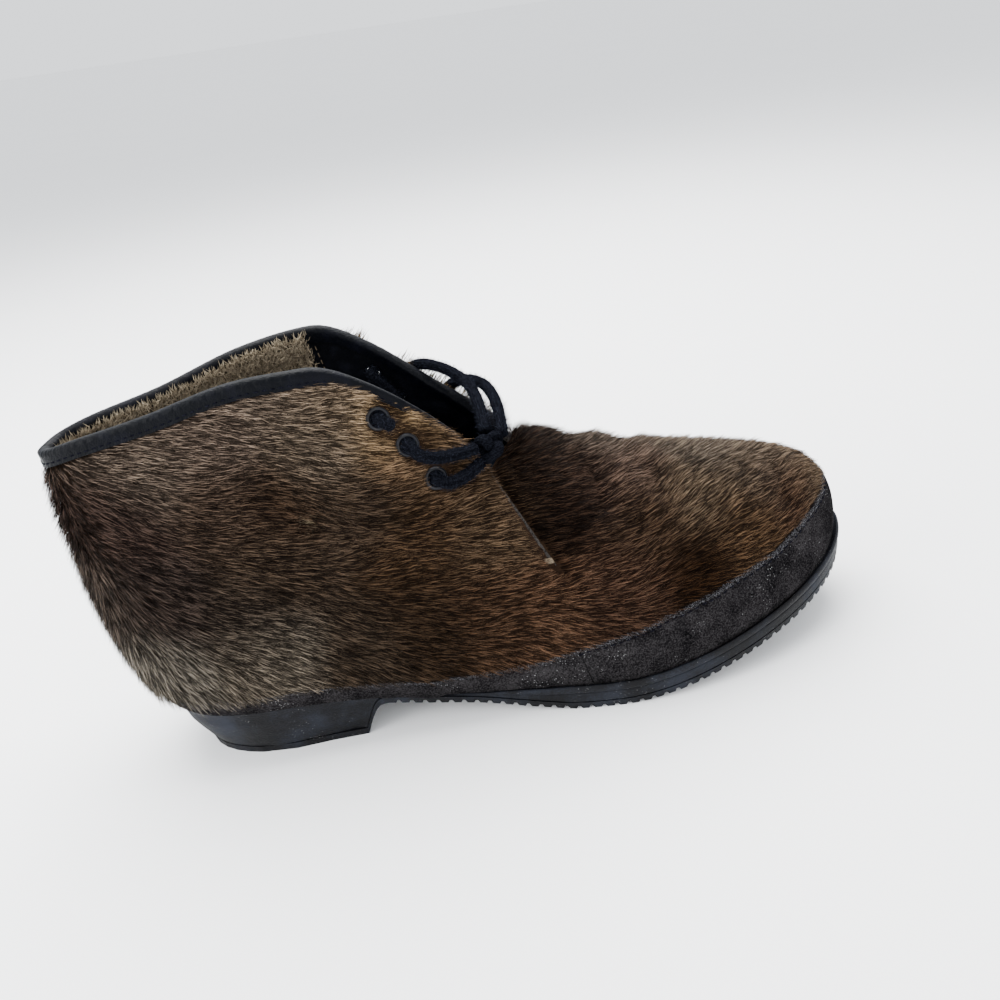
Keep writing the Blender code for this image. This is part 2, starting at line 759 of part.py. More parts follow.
def cut_eyelet_holes(upper, seats, where):
    """Holes through the quarters for the eyelets' barrels."""
    shape = bmesh.new()
    for _, point, direction in seats:
        bmesh.ops.create_cone(
            shape,
            cap_ends=True,
            segments=10,
            radius1=EYELET_BORE + EYELET_WALL + GAP,
            radius2=EYELET_BORE + EYELET_WALL + GAP,
            depth=4 * (WALL + FLAP_STEP),
            matrix=Matrix.Translation(point - ORIGIN) @ turned(direction),
        )
    mesh = bpy.data.meshes.new("eyelet_cutter")
    shape.to_mesh(mesh)
    shape.free()
    cutter = bpy.data.objects.new("eyelet_cutter", mesh)
    where.objects.link(cutter)
    cutter.hide_render = True
    cutter.display_type = "WIRE"
    cut = upper.modifiers.new("eyelet_holes", "BOOLEAN")
    cut.operation = "DIFFERENCE"
    cut.object = cutter


def build_eyelets(seats, finish, where):
    """Round eyelets: a barrel through the wall with a rolled flange on its outer face."""
    barrel, top = EYELET_BORE + EYELET_WALL, EYELET_LIP + 1.5 * GAP
    depth = WALL + GAP
    profile = (
        (EYELET_BORE, top - 0.2 * MM),
        (EYELET_BORE + 0.5 * MM, top),
        (EYELET_FLANGE - 0.4 * MM, top - 0.15 * MM),
        (EYELET_FLANGE, 1.8 * GAP),
        (barrel, 1.5 * GAP),
        (barrel, -depth),
        (EYELET_BORE, -depth),
    )
    sides = 10
    for name, point, direction in seats:
        basis = Matrix.Translation(point) @ turned(direction)
        sections = [
            [basis @ Vector((r * math.cos(a), r * math.sin(a), z)) for r, z in profile]
            for a in (2 * math.pi * k / sides for k in range(sides))
        ]
        points = np.array(sections, float).reshape(-1, 3)
        faces = grid_faces(sides, len(profile), closed=True)
        last = (sides - 1) * len(profile)
        faces += [
            (last + k, last + (k + 1) % len(profile), (k + 1) % len(profile), k) for k in range(len(profile))
        ]
        mesh_object(name, points, faces, finish, where)


def rand_section(side, place):
    """A closed section of the rand between two larger forms of the upper, on the upper's own rows."""
    shares = row_shares(side, place)[: ROWS_BELOW_RAND + 1]
    places = np.full_like(shares, place)
    near = skin(side, places, shares, GAP)
    far = skin(side, places, shares, GAP + RAND_THICKNESS)
    near[0, 2] = far[0, 2] = sole_top(far[0, 0]) + SEAT_GAP
    return np.concatenate([near, far[::-1]])


def build_rands(finish, where):
    """The suede band round the foot of the upper: a low piece round the heel and a high one round the toe."""
    places = upper_places()
    heel = np.append(places[places < RAND_JOINT - RAND_SEAM], RAND_JOINT - RAND_SEAM)
    toe = np.insert(places[places > RAND_JOINT + RAND_SEAM], 0, RAND_JOINT + RAND_SEAM)
    sections = [rand_section(OUTER, p) for p in heel[::-1]] + [rand_section(INNER, p) for p in heel[1:]]
    swept("rand_heel", sections, finish, where)
    sections = [rand_section(OUTER, p) for p in toe] + [rand_section(INNER, p) for p in toe[-2::-1]]
    swept("rand_toe", sections, finish, where)


def tongue_line(place, low, high, depth):
    """A line across the tongue: under the outer flap, over the instep and under the inner flap."""
    shares = np.linspace(low, high, 4)
    outer = lining(OUTER, np.full_like(shares, place), shares, -depth)
    inner = lining(INNER, np.full_like(shares, place), shares, -depth)
    start, end = outer[-1], inner[-1]
    reach = np.linalg.norm(end - start) * 0.4
    lead, land = outer[-1] - outer[-2], inner[-1] - inner[-2]
    lead, land = lead / np.linalg.norm(lead) * reach, land / np.linalg.norm(land) * reach
    across = (end - start) * 0.3
    lead, land = across * (1 - TONGUE_ARCH) + lead * TONGUE_ARCH, land * TONGUE_ARCH - across * (1 - TONGUE_ARCH)
    t = np.linspace(0, 1, 7)[1:-1, None]
    arch = (
        (1 - t) ** 3 * start
        + 3 * (1 - t) ** 2 * t * (start + lead)
        + 3 * (1 - t) * t**2 * (end + land)
        + t**3 * end
    )
    return np.concatenate([outer, arch, inner[::-1]])


def build_tongue(finish, where):
    """The tongue lies under both flaps and reaches a little under the vamp."""
    rows = np.array(TONGUE)
    finer = np.union1d(rows[:, 0], np.linspace(rows[0, 0], rows[-1, 0], 8))
    clear = FLAP_STEP + 3 * GAP
    sections = []
    for place in finer:
        low, high = smooth(place, rows[:, 0], rows[:, 1]), smooth(place, rows[:, 0], rows[:, 2])
        upper_face = tongue_line(place, low, high, clear)
        lower_face = tongue_line(place, low, high, clear + TONGUE_THICKNESS)
        sections.append(np.concatenate([upper_face, lower_face[::-1]]))
    return swept("tongue", sections, finish, where)


def lace_curve(name, points, finish, where, radius=LACE_RADIUS):
    """A round lace along a smooth curve through points in metres."""
    line = bpy.data.curves.new(name, "CURVE")
    line.dimensions = "3D"
    line.bevel_depth = radius
    line.bevel_resolution = 1
    line.resolution_u = 2
    line.use_fill_caps = True
    spline = line.splines.new("BEZIER")
    spline.bezier_points.add(len(points) - 1)
    for knot, point in zip(spline.bezier_points, points):
        knot.co = Vector(point) - ORIGIN
        knot.handle_left_type = knot.handle_right_type = "AUTO"
    line.materials.append(finish)
    made = bpy.data.objects.new(name, line)
    where.objects.link(made)
    return made


def build_laces(seats, finish, where):
    """The bar between the flaps, the runs from eyelet to eyelet and to the knot, the knot and the free ends."""
    point = {name: spot for name, spot, _ in seats}
    out = {name: direction for name, _, direction in seats}
    inside, outside = WALL + 2 * GAP, EYELET_LIP + 2.5 * GAP

    def linked(name, first, second, depth, turn, rise=0.0):
        start, end = (point[seat] + out[seat] * depth for seat in (first, second))
        lead, land = start + out[first] * turn, end + out[second] * turn
        middle = [lead.lerp(land, t) + Vector((0, 0, 4 * t * (1 - t) * rise)) for t in (0.2, 0.5, 0.8)]
        points = [start, lead, *middle, land, end] if rise else [start, lead, middle[1], land, end]
        lace_curve(name, points, finish, where)

    low = len(EYELETS)
    lowest = point[f"eyelet_outer_{low}"]
    linked("lace_bar", f"eyelet_outer_{low}", f"eyelet_inner_{low}", -inside, -LACE_RADIUS, BAR_RISE)
    linked("lace_inside_outer", "eyelet_outer_1", "eyelet_outer_2", -inside, -1.2 * LACE_RADIUS)
    linked("lace_inside_inner", "eyelet_inner_1", "eyelet_inner_2", -inside, -1.2 * LACE_RADIUS)
    linked("lace_outside_inner", "eyelet_inner_2", f"eyelet_inner_{low}", outside, 1.2 * LACE_RADIUS)
    for number, way in LACE_TO_KNOT.items():
        seat = f"eyelet_outer_{number}"
        start = point[seat] + out[seat] * outside
        bases = [point[seat].lerp(lowest, k / (len(way) - 1)) for k in range(len(way))]
        onwards = [base + Vector(p) * MM for base, p in zip(bases, way)]
        points = [start, start + out[seat] * 0.8 * LACE_RADIUS, *onwards]
        lace_curve(f"lace_run_{number}", points, finish, where)
    centre, half = (Vector(values) * MM for values in KNOT)
    centre += lowest
    ball = bmesh.new()
    size = Matrix.Diagonal((*half, 1))
    bmesh.ops.create_icosphere(ball, subdivisions=2, radius=1, matrix=Matrix.Translation(centre - ORIGIN) @ size)
    mesh = bpy.data.meshes.new("lace_knot")
    ball.to_mesh(mesh)
    ball.free()
    mesh.shade_smooth()
    mesh.materials.append(finish)
    where.objects.link(bpy.data.objects.new("lace_knot", mesh))
    for word, way in LACE_ENDS.items():
        lace_curve(f"lace_end_{word}", [lowest + Vector(p) * MM for p in way], finish, where)


def binding_section(side, place):
    """A closed section of the binding: two legs on the wall's faces and a round bead over its edge."""
    places = np.full(2, place)
    rows = row_shares(side, place)[-2:]
    directions = outwards(side, places, rows)
    spine = form(side, places, rows)
    length = np.linalg.norm(spine[1] - spine[0])
    rise = (spine[1] - spine[0]) / length
    foot = 1 - BINDING_LEG / length
    low, high = (directions[0] * (1 - foot) + directions[1] * foot), directions[1]
    out, back = skin(side, places, rows), lining(side, places, rows)
    out_foot, back_foot = (face[0] + (face[1] - face[0]) * foot for face in (out, back))
    out_top, back_top = out[1], back[1]
    middle, half = (out_top + back_top) / 2, np.linalg.norm(out_top - back_top) / 2 + BINDING_CLEAR + BINDING_THICKNESS
    clear = BINDING_CLEAR
    far, lift = clear + BINDING_THICKNESS, rise * clear
    bead = [
        middle + high * half * math.cos(a) + rise * (BINDING_CLEAR + BINDING_BEAD * math.sin(a))
        for a in np.linspace(math.pi * 0.12, math.pi * 0.88, 5)
    ]
    points = [out_foot + low * far, out_top + high * far, *bead, back_top - high * far, back_foot - low * far]
    points += [back_foot - low * clear, back_top - high * clear + lift, out_top + high * clear + lift]
    points += [out_foot + low * clear]
    return np.array(points)


def build_binding(finish, where):
    """The leather binding over the edge of the collar and of both flaps."""
    places = upper_places()
    places = places[places <= BINDING_END]
    sections = [binding_section(OUTER, p) for p in places[::-1]] + [binding_section(INNER, p) for p in places[1:]]
    return swept("collar_binding", sections, finish, where)


def main():
    for old in list(bpy.data.objects):
        bpy.data.objects.remove(old)
    boot, cutters = collection("chukka_boot"), collection("cutters")
    hide = material("brown_hair_hide", (0.085, 0.058, 0.040), 0.75)
    suede = material("grey_suede", (0.060, 0.058, 0.060), 0.9)
    rubber = material("black_rubber", (0.028, 0.030, 0.038), 0.6)
    felt = material("dark_felt", (0.016, 0.018, 0.024), 0.95)
    leather = material("navy_leather", (0.018, 0.018, 0.032), 0.4)
    fleece = material("brown_fleece", (0.16, 0.12, 0.08), 0.95)
    cord = material("black_lace", (0.022, 0.023, 0.030), 0.95)
    enamel = material("black_enamel", (0.015, 0.015, 0.018), 0.35)
    build_outsole(rubber, boot)
    build_midsole(rubber, boot)
    build_insole(fleece, boot)
    upper = build_upper(hide, boot)
    seats = eyelet_seats()
    cut_eyelet_holes(upper, seats, cutters)
    build_eyelets(seats, enamel, boot)
    build_rands(suede, boot)
    build_tongue(felt, boot)
    build_binding(leather, boot)
    build_laces(seats, cord, boot)


main()
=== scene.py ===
"""Dresses the chukka boot: hide and hair, suede rands, rubber sole, leather binding, felt tongue, lace.

Metres. +X runs to the toe, +Y to the inner side of the foot and +Z up. The origin lies on the floor in the
middle of the heel's flat. Inside the classes x starts at the back of the heel, and ORIGIN is taken off when a
mesh is made. A rib climbs the upper from a place on the sole's outline, 0 at the heel and 1 at the toe, to
the top line, and a share says how far up it a point lies.
"""

import logging
import math
from collections.abc import Callable, Sequence
from dataclasses import dataclass
from enum import IntEnum
from functools import lru_cache
from typing import Any

import bmesh
import bpy
import numpy as np
from mathutils import Matrix, Vector


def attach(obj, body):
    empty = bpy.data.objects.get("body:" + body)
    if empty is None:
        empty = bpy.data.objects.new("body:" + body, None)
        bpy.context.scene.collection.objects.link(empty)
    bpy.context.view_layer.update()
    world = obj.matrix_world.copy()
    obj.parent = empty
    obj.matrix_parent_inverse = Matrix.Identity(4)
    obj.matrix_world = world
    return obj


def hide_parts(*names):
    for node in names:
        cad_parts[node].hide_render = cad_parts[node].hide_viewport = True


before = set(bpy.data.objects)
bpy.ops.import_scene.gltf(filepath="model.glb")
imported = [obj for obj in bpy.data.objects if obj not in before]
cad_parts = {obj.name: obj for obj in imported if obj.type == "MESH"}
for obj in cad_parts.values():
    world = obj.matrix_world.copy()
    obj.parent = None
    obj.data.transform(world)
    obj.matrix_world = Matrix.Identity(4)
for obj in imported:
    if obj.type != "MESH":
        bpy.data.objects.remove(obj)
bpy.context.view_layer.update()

MM = 0.001
ORIGIN = np.array([40.5 * MM, 0, 0])
log = logging.getLogger("chukka_boot")


class Side(IntEnum):
    """The two sides of the foot, as the sign of Y."""

    OUTER = -1
    INNER = 1

    @property
    def word(self) -> str:
        """The side's name, as the names of pieces have it."""
        return self.name.lower()


def smooth(x: Any, xs: Sequence[float], ys: Sequence[float]) -> np.ndarray:
    """A curve through points that never overshoots them.

    Args:
        x: Where to read the curve.
        xs: The points' places, in rising order.
        ys: The points' values.

    Returns:
        The values at x.
    """
    x, xs, ys = np.asarray(x, float), np.asarray(xs, float), np.asarray(ys, float)
    step = np.diff(xs)
    slope = np.diff(ys) / step
    tangent = np.concatenate([slope[:1], (slope[1:] + slope[:-1]) / 2, slope[-1:]])
    flat = np.sign(slope[1:]) != np.sign(slope[:-1])
    tangent[1:-1][flat] = 0
    limit = 3 * np.minimum(np.abs(np.append(slope, slope[-1])), np.abs(np.insert(slope, 0, slope[0])))
    tangent = np.clip(tangent, -limit, limit)
    i = np.clip(np.searchsorted(xs, x, side="right") - 1, 0, len(step) - 1)
    t = np.clip((x - xs[i]) / step[i], 0, 1)
    rise = ys[i + 1] - ys[i]
    start, end = tangent[i] * step[i], tangent[i + 1] * step[i]
    return ys[i] + t * (start + t * (3 * rise - 2 * start - end + t * (start + end - 2 * rise)))


def closed_spline(points: Sequence[tuple[float, float]], count: int) -> np.ndarray:
    """A smooth closed curve through points.

    Args:
        points: The points, in order.
        count: How many pieces to cut the curve into.

    Returns:
        count + 1 points, the last on the first.
    """
    points = np.asarray(points, float)
    n = len(points)
    gaps = np.linalg.norm(np.roll(points, -1, axis=0) - points, axis=1) ** 0.6
    matrix, right = np.zeros((n, n)), np.zeros((n, 2))
    for i in range(n):
        before, after = gaps[i - 1], gaps[i]
        matrix[i, i - 1] = 1 / before
        matrix[i, i] = 2 / before + 2 / after
        matrix[i, (i + 1) % n] = 1 / after
        to_here = (points[i] - points[i - 1]) / before**2
        from_here = (points[(i + 1) % n] - points[i]) / after**2
        right[i] = 3 * (to_here + from_here)
    slopes = np.linalg.solve(matrix, right)
    knots = np.concatenate([[0], np.cumsum(gaps)])
    at = np.linspace(0, knots[-1], count + 1)
    i = np.clip(np.searchsorted(knots, at, side="right") - 1, 0, n - 1)
    t = ((at - knots[i]) / gaps[i])[:, None]
    j = (i + 1) % n
    start, end = slopes[i] * gaps[i][:, None], slopes[j] * gaps[i][:, None]
    rise = points[j] - points[i]
    return points[i] + t * (start + t * (3 * rise - 2 * start - end + t * (start + end - 2 * rise)))


def through(a: Any, b: Any, c: Any, d: Any, t: Any) -> np.ndarray:
    """The smooth way from b to c, at t from 0 to 1, when a comes before them and d after."""
    return 0.5 * (2 * b + (c - a) * t + (2 * a - 5 * b + 4 * c - d) * t**2 + (3 * b - a - 3 * c + d) * t**3)


def open_spline(points: Any, step: float) -> np.ndarray:
    """A smooth open curve through points in space.

    Args:
        points: The points, in order.
        step: The distance between the curve's samples.

    Returns:
        Evenly spaced points on the curve.
    """
    points = np.asarray(points, float)
    padded = np.concatenate([[2 * points[0] - points[1]], points, [2 * points[-1] - points[-2]]])
    rows = []
    for a, b, c, d in zip(padded, padded[1:], padded[2:], padded[3:]):
        t = np.linspace(0, 1, 24, endpoint=False)[:, None]
        rows.append(through(a, b, c, d, t))
    line = np.concatenate([*rows, points[-1:]])
    run = np.concatenate([[0], np.cumsum(np.linalg.norm(np.diff(line, axis=0), axis=1))])
    at = np.linspace(0, run[-1], max(3, int(round(run[-1] / step)) + 1))
    return np.stack([np.interp(at, run, line[:, k]) for k in range(3)], axis=-1)


def unit(vectors: np.ndarray) -> np.ndarray:
    """The vectors, each with a length of 1."""
    return vectors / np.maximum(np.linalg.norm(vectors, axis=-1, keepdims=True), 1e-12)


def matched(place: Any, share: Any) -> tuple[np.ndarray, np.ndarray]:
    """Places and shares as arrays of one shape."""
    return np.broadcast_arrays(np.asarray(place, float), np.asarray(share, float))


def ramp(value: Any, start: Any, span: Any) -> np.ndarray:
    """0 up to start, then rising evenly to 1 over the span."""
    return np.clip((value - start) / span, 0, 1)


def across(way: np.ndarray, about: Sequence[float]) -> tuple[np.ndarray, np.ndarray]:
    """Two unit directions across a way, the first of them square to about as well."""
    side = unit(np.cross(way, about))
    return side, np.cross(way, side)


def tint(red: float, green: float, blue: float) -> tuple[float, float, float]:
    """A colour as a screen shows it, 0 to 255, turned into light values."""
    return tuple(float(v) for v in light_values(np.array([red, green, blue])))


def light_values(shown: np.ndarray) -> np.ndarray:
    """Light values of screen colours, 0 to 255."""
    shares = np.asarray(shown, float) / 255
    return np.where(shares <= 0.04045, shares / 12.92, ((shares + 0.055) / 1.055) ** 2.4)


@dataclass(frozen=True)
class Crease:
    """A soft trough, or with a negative depth a ridge, along a way over the upper."""

    way: tuple[tuple[int, float, float], ...]
    depth: float
    width: float


CREASES = (
    Crease(((-1, 0.262, 0.80), (-1, 0.280, 0.70), (-1, 0.300, 0.62)), 2.4 * MM, 13 * MM),
    Crease(((-1, 0.455, 0.66), (-1, 0.410, 0.62), (-1, 0.350, 0.60), (-1, 0.310, 0.60)), 1.3 * MM, 6 * MM),
    Crease(((-1, 0.460, 0.55), (-1, 0.400, 0.50), (-1, 0.330, 0.47)), -1.2 * MM, 8 * MM),
    Crease(((-1, 0.150, 0.48), (-1, 0.220, 0.43), (-1, 0.300, 0.40)), 1.0 * MM, 7 * MM),
    Crease(((-1, 0.648, 0.78), (-1, 0.642, 0.70), (-1, 0.636, 0.60)), 2.2 * MM, 5 * MM),
    Crease(((-1, 0.672, 0.76), (-1, 0.668, 0.68)), -1.3 * MM, 5 * MM),
    Crease(((-1, 0.698, 0.78), (-1, 0.697, 0.72), (-1, 0.692, 0.66)), 1.8 * MM, 4 * MM),
    Crease(((-1, 0.650, 0.48), (-1, 0.680, 0.40), (-1, 0.700, 0.30)), 1.0 * MM, 6 * MM),
    Crease(((-1, 0.862, 0.80), (-1, 0.850, 0.68), (-1, 0.838, 0.56)), 2.0 * MM, 6 * MM),
    Crease(((-1, 0.835, 0.86), (-1, 0.822, 0.72)), -1.0 * MM, 6 * MM),
    Crease(((1, 0.645, 0.86), (1, 0.640, 0.70), (1, 0.625, 0.52)), 1.8 * MM, 6 * MM),
    Crease(((1, 0.690, 0.84), (1, 0.692, 0.70), (1, 0.680, 0.55)), 1.5 * MM, 5 * MM),
    Crease(((1, 0.260, 0.80), (1, 0.290, 0.66), (1, 0.330, 0.55)), 2.2 * MM, 12 * MM),
    Crease(((1, 0.150, 0.50), (1, 0.240, 0.42), (1, 0.330, 0.40)), 1.0 * MM, 7 * MM),
)


@dataclass(frozen=True)
class BootForm:
    """The boot's driving sizes and the forms of its sole and upper, the same as the solids'."""

    sole_length: float = 285 * MM
    ball_width: float = 95 * MM
    waist_width: float = 66 * MM
    heel_width: float = 64 * MM
    heel_length: float = 72 * MM
    heel_height: float = 14 * MM
    heel_round: float = 9 * MM
    breast_run: float = 9 * MM
    heel_taper_back: float = 7 * MM
    heel_taper_side: float = 2.5 * MM
    seat_height: float = 25 * MM
    forefoot_sole: float = 9.8 * MM
    toe_spring: float = 25 * MM
    rocker_start: float = 0.61
    rocker_power: float = 1.5
    wall: float = 2.5 * MM
    flap_step: float = 1.5 * MM
    inset_fore: float = 4.2 * MM
    inset_heel: float = 1.6 * MM
    collar_height: float = 150 * MM
    collar_width: float = 56 * MM
    vamp_height: float = 98 * MM
    ankle_swell: float = 8 * MM
    ridge_bend: float = 4 * MM
    rand_height: float = 26 * MM
    seat_gap: float = 0.45 * MM
    flap_place: float = 0.575
    ridge_place: float = 0.605
    pole_place: float = 0.815
    seam_rise: float = 0.035
    samples: int = 600
    # Share of the length, then outer and inner half widths as shares of the ball's, the waist's or the heel's
    outline: tuple = (
        (0.025, 0.300, 0.290, "heel"),
        (0.090, 0.470, 0.450, "heel"),
        (0.190, 0.505, 0.475, "heel"),
        (0.380, 0.525, 0.410, "waist"),
        (0.530, 0.465, 0.380, "ball"),
        (0.650, 0.530, 0.460, "ball"),
        (0.770, 0.495, 0.470, "ball"),
        (0.890, 0.365, 0.405, "ball"),
        (0.970, 0.165, 0.280, "ball"),
    )
    toe_tip: tuple[float, float] = (1.0, 0.09)
    # Share of the length, share of the seat's height over the forefoot
    top_of_sole: tuple = (
        (0.00, 1.00), (0.10, 0.97), (0.18, 0.88), (0.25, 0.72),
        (0.30, 0.55), (0.36, 0.27), (0.43, 0.09), (0.50, 0.00),
    )
    waist: tuple = ((0.29, 1.00), (0.35, 0.72), (0.42, 0.46), (0.48, 0.20), (0.54, 0.00))
    # Place, along outer, along inner, half outer, half inner, height, shaft, swell
    quarter_ribs: tuple = (
        (0.000, -0.050, -0.050, 0.00, 0.00, 0.865, 1.0, 1.00),
        (0.060, -0.034, -0.034, 0.30, 0.28, 0.875, 1.0, 1.00),
        (0.120, 0.005, 0.005, 0.46, 0.38, 0.895, 1.0, 0.90),
        (0.200, 0.095, 0.095, 0.62, 0.46, 0.930, 1.0, 0.80),
        (0.290, 0.200, 0.200, 0.80, 0.68, 0.980, 1.0, 0.75),
        (0.370, 0.290, 0.290, 0.92, 0.92, 0.990, 1.0, 0.70),
        (0.440, 0.360, 0.360, 0.88, 0.86, 0.930, 0.9, 0.65),
        (0.505, 0.435, 0.445, 0.76, 0.72, 0.790, 0.7, 0.50),
        (0.545, 0.463, 0.500, 0.72, 0.58, 0.700, 0.5, 0.40),
        (0.575, 0.483, 0.528, 0.70, 0.44, 0.640, 0.4, 0.30),
    )
    # Place, along, swell
    vamp_ribs: tuple = (
        (0.605, 0.530, 0.28),
        (0.660, 0.625, 0.22),
        (0.720, 0.730, 0.20),
        (0.770, 0.800, 0.20),
        (0.815, 0.850, 0.15),
        (1.000, 0.850, 0.10),
    )
    # Along, share of the vamp's height
    ridge: tuple = (
        (0.48, 1.085), (0.530, 1.035), (0.570, 0.995), (0.620, 0.940),
        (0.680, 0.880), (0.750, 0.825), (0.810, 0.780), (0.860, 0.735),
    )
    squareness: tuple = ((0.40, 1.00, 0.90), (0.60, 0.95, 0.86), (0.80, 0.85, 0.80), (1.0, 0.74, 0.78))
    quarter_seam: tuple = ((0.33, -0.30), (0.38, 0.08), (0.45, 0.22), (0.52, 0.37), (0.575, 0.47))
    rand: tuple = (
        (0.000, 0.28), (0.150, 0.29), (0.300, 0.33), (0.420, 0.42), (0.520, 0.60),
        (0.600, 0.84), (0.700, 0.97), (0.850, 0.97), (1.000, 0.86),
    )
    eyelets: tuple = ((0.435, 0.905), (0.455, 0.840), (0.470, 0.745))

    @lru_cache(maxsize=1)
    def sides(self) -> dict[int, tuple[np.ndarray, np.ndarray, np.ndarray]]:
        """For each side the outline's shares of the way, its points and the directions into the sole."""
        widths = {"heel": self.heel_width, "waist": self.waist_width, "ball": self.ball_width}
        outer = [(a * self.sole_length, -o * widths[w]) for a, o, _, w in self.outline]
        inner = [(a * self.sole_length, i * widths[w]) for a, _, i, w in self.outline]
        tip = (self.toe_tip[0] * self.sole_length, self.toe_tip[1] * self.ball_width)
        loop = closed_spline([(0, 0), *outer, tip, *reversed(inner)], self.samples)
        tangent = unit(np.gradient(loop, axis=0))
        inwards = np.stack([-tangent[:, 1], tangent[:, 0]], axis=1)
        turn = int(np.argmin(np.linalg.norm(loop - tip, axis=1)))
        found = {}
        for side, part in ((Side.OUTER, slice(0, turn + 1)), (Side.INNER, slice(self.samples, turn - 1, -1))):
            points = loop[part]
            run = np.concatenate([[0], np.cumsum(np.linalg.norm(np.diff(points, axis=0), axis=1))])
            found[int(side)] = (run / run[-1], points, inwards[part])
        return found

    def edge(self, side: int, place: Any, inset: Any = 0.0) -> tuple[np.ndarray, np.ndarray]:
        """Points x, y on the sole's outline, moved inwards by inset."""
        shares, points, inwards = self.sides()[int(side)]
        x, y = (np.interp(place, shares, points[:, k]) for k in (0, 1))
        dx, dy = (np.interp(place, shares, inwards[:, k]) for k in (0, 1))
        length = np.hypot(dx, dy)
        return x + inset * dx / length, y + inset * dy / length

    def place_at(self, side: int, x: float) -> float:
        """The place on a side whose outline point has this x."""
        shares, points, _ = self.sides()[int(side)]
        return float(np.interp(x, points[:, 0], shares))

    def rocker(self, x: Any) -> np.ndarray:
        """How far the sole has risen towards the toe."""
        share = ramp(x / self.sole_length, self.rocker_start, 1 - self.rocker_start)
        return self.toe_spring * share**self.rocker_power

    def sole_top(self, x: Any) -> np.ndarray:
        """Height of the sole's top."""
        along, share = zip(*self.top_of_sole)
        rise = (self.seat_height - self.forefoot_sole) * smooth(x / self.sole_length, along, share)
        return self.forefoot_sole + rise + self.rocker(x)

    def sole_bottom(self, x: Any) -> np.ndarray:
        """Height of the outsole's underside."""
        x = np.asarray(x, float)
        along, share = zip(*self.waist)
        waist = self.heel_height * smooth(x / self.sole_length, along, share)
        breast = ramp(x, self.heel_length, self.breast_run)
        back = np.clip(1 - x / self.heel_round, 0, 1)
        return waist * np.sin(breast * math.pi / 2) + 0.3 * self.heel_round * back**2 + self.rocker(x)

    def heel_taper(self, place: Any) -> np.ndarray:
        """How far the heel's foot stands in from its top."""
        back = np.clip(1 - place / 0.16, 0, 1)
        breast = self.place_at(Side.OUTER, self.heel_length + self.breast_run)
        side = np.clip((breast - place) / 0.04, 0, 1)
        return self.heel_taper_side * side + (self.heel_taper_back - self.heel_taper_side) * back**0.7

    def forefoot(self, place: Any) -> np.ndarray:
        """0 at the heel and the waist, 1 from the ball on."""
        t = ramp(np.asarray(place, float), 0.36, 0.16)
        return t * t * (3 - 2 * t)

    def upper_inset(self, place: Any) -> np.ndarray:
        """How far the upper's foot stands in from the sole's edge."""
        return self.inset_heel + (self.inset_fore - self.inset_heel) * self.forefoot(place)

    def ridge_height(self, along: Any) -> np.ndarray:
        """Height of the vamp's ridge at a share of the sole's length."""
        xs, shares = zip(*self.ridge)
        return self.vamp_height * smooth(along, xs, shares)

    def ridge_slope(self, along: Any) -> np.ndarray:
        """How steeply the ridge runs."""
        step = 0.004
        rise = self.ridge_height(along + step) - self.ridge_height(along - step)
        return rise / (2 * step * self.sole_length)

    def ridge_y(self, along: Any) -> np.ndarray:
        """The ridge bends to the inner side towards the toe."""
        return self.ridge_bend * ramp(along, 0.55, 0.3) ** 2

    def past_flap(self, place: np.ndarray) -> np.ndarray:
        """0 up to the flap's edge, 1 from the start of the ridge on."""
        return ramp(place, self.flap_place, self.ridge_place - self.flap_place)

    def level(self, side: int, place: Any) -> np.ndarray:
        """Level directions out of the sole's edge."""
        (out_x, out_y), (edge_x, edge_y) = self.edge(side, place, -1.0), self.edge(side, place)
        return np.stack([out_x - edge_x, out_y - edge_y, np.zeros_like(out_x)], axis=-1)

    def top_line(self, side: int, place: Any) -> np.ndarray:
        """Where the ribs of a side end: on the collar, the flap's edge or the ridge."""
        place = np.asarray(place, float)
        q, v = list(zip(*self.quarter_ribs)), list(zip(*self.vamp_ribs))
        along_column, half_column = (1, 3) if side == Side.OUTER else (2, 4)
        on_flap = place <= self.flap_place
        blend = self.past_flap(place)

        def joined(of_quarter: Any, of_vamp: Any) -> np.ndarray:
            """The quarter's value, passing into the vamp's."""
            return np.where(on_flap, of_quarter, (1 - blend) * of_quarter + blend * of_vamp)

        along = joined(smooth(place, q[0], q[along_column]), smooth(place, v[0], v[1]))
        half = joined(smooth(place, q[0], q[half_column]), 0)
        height = joined(self.collar_height * smooth(place, q[0], q[5]), self.ridge_height(along))
        y = side * half * self.collar_width / 2 + joined(0, self.ridge_y(along))
        return np.stack([along * self.sole_length, y, height], axis=-1)

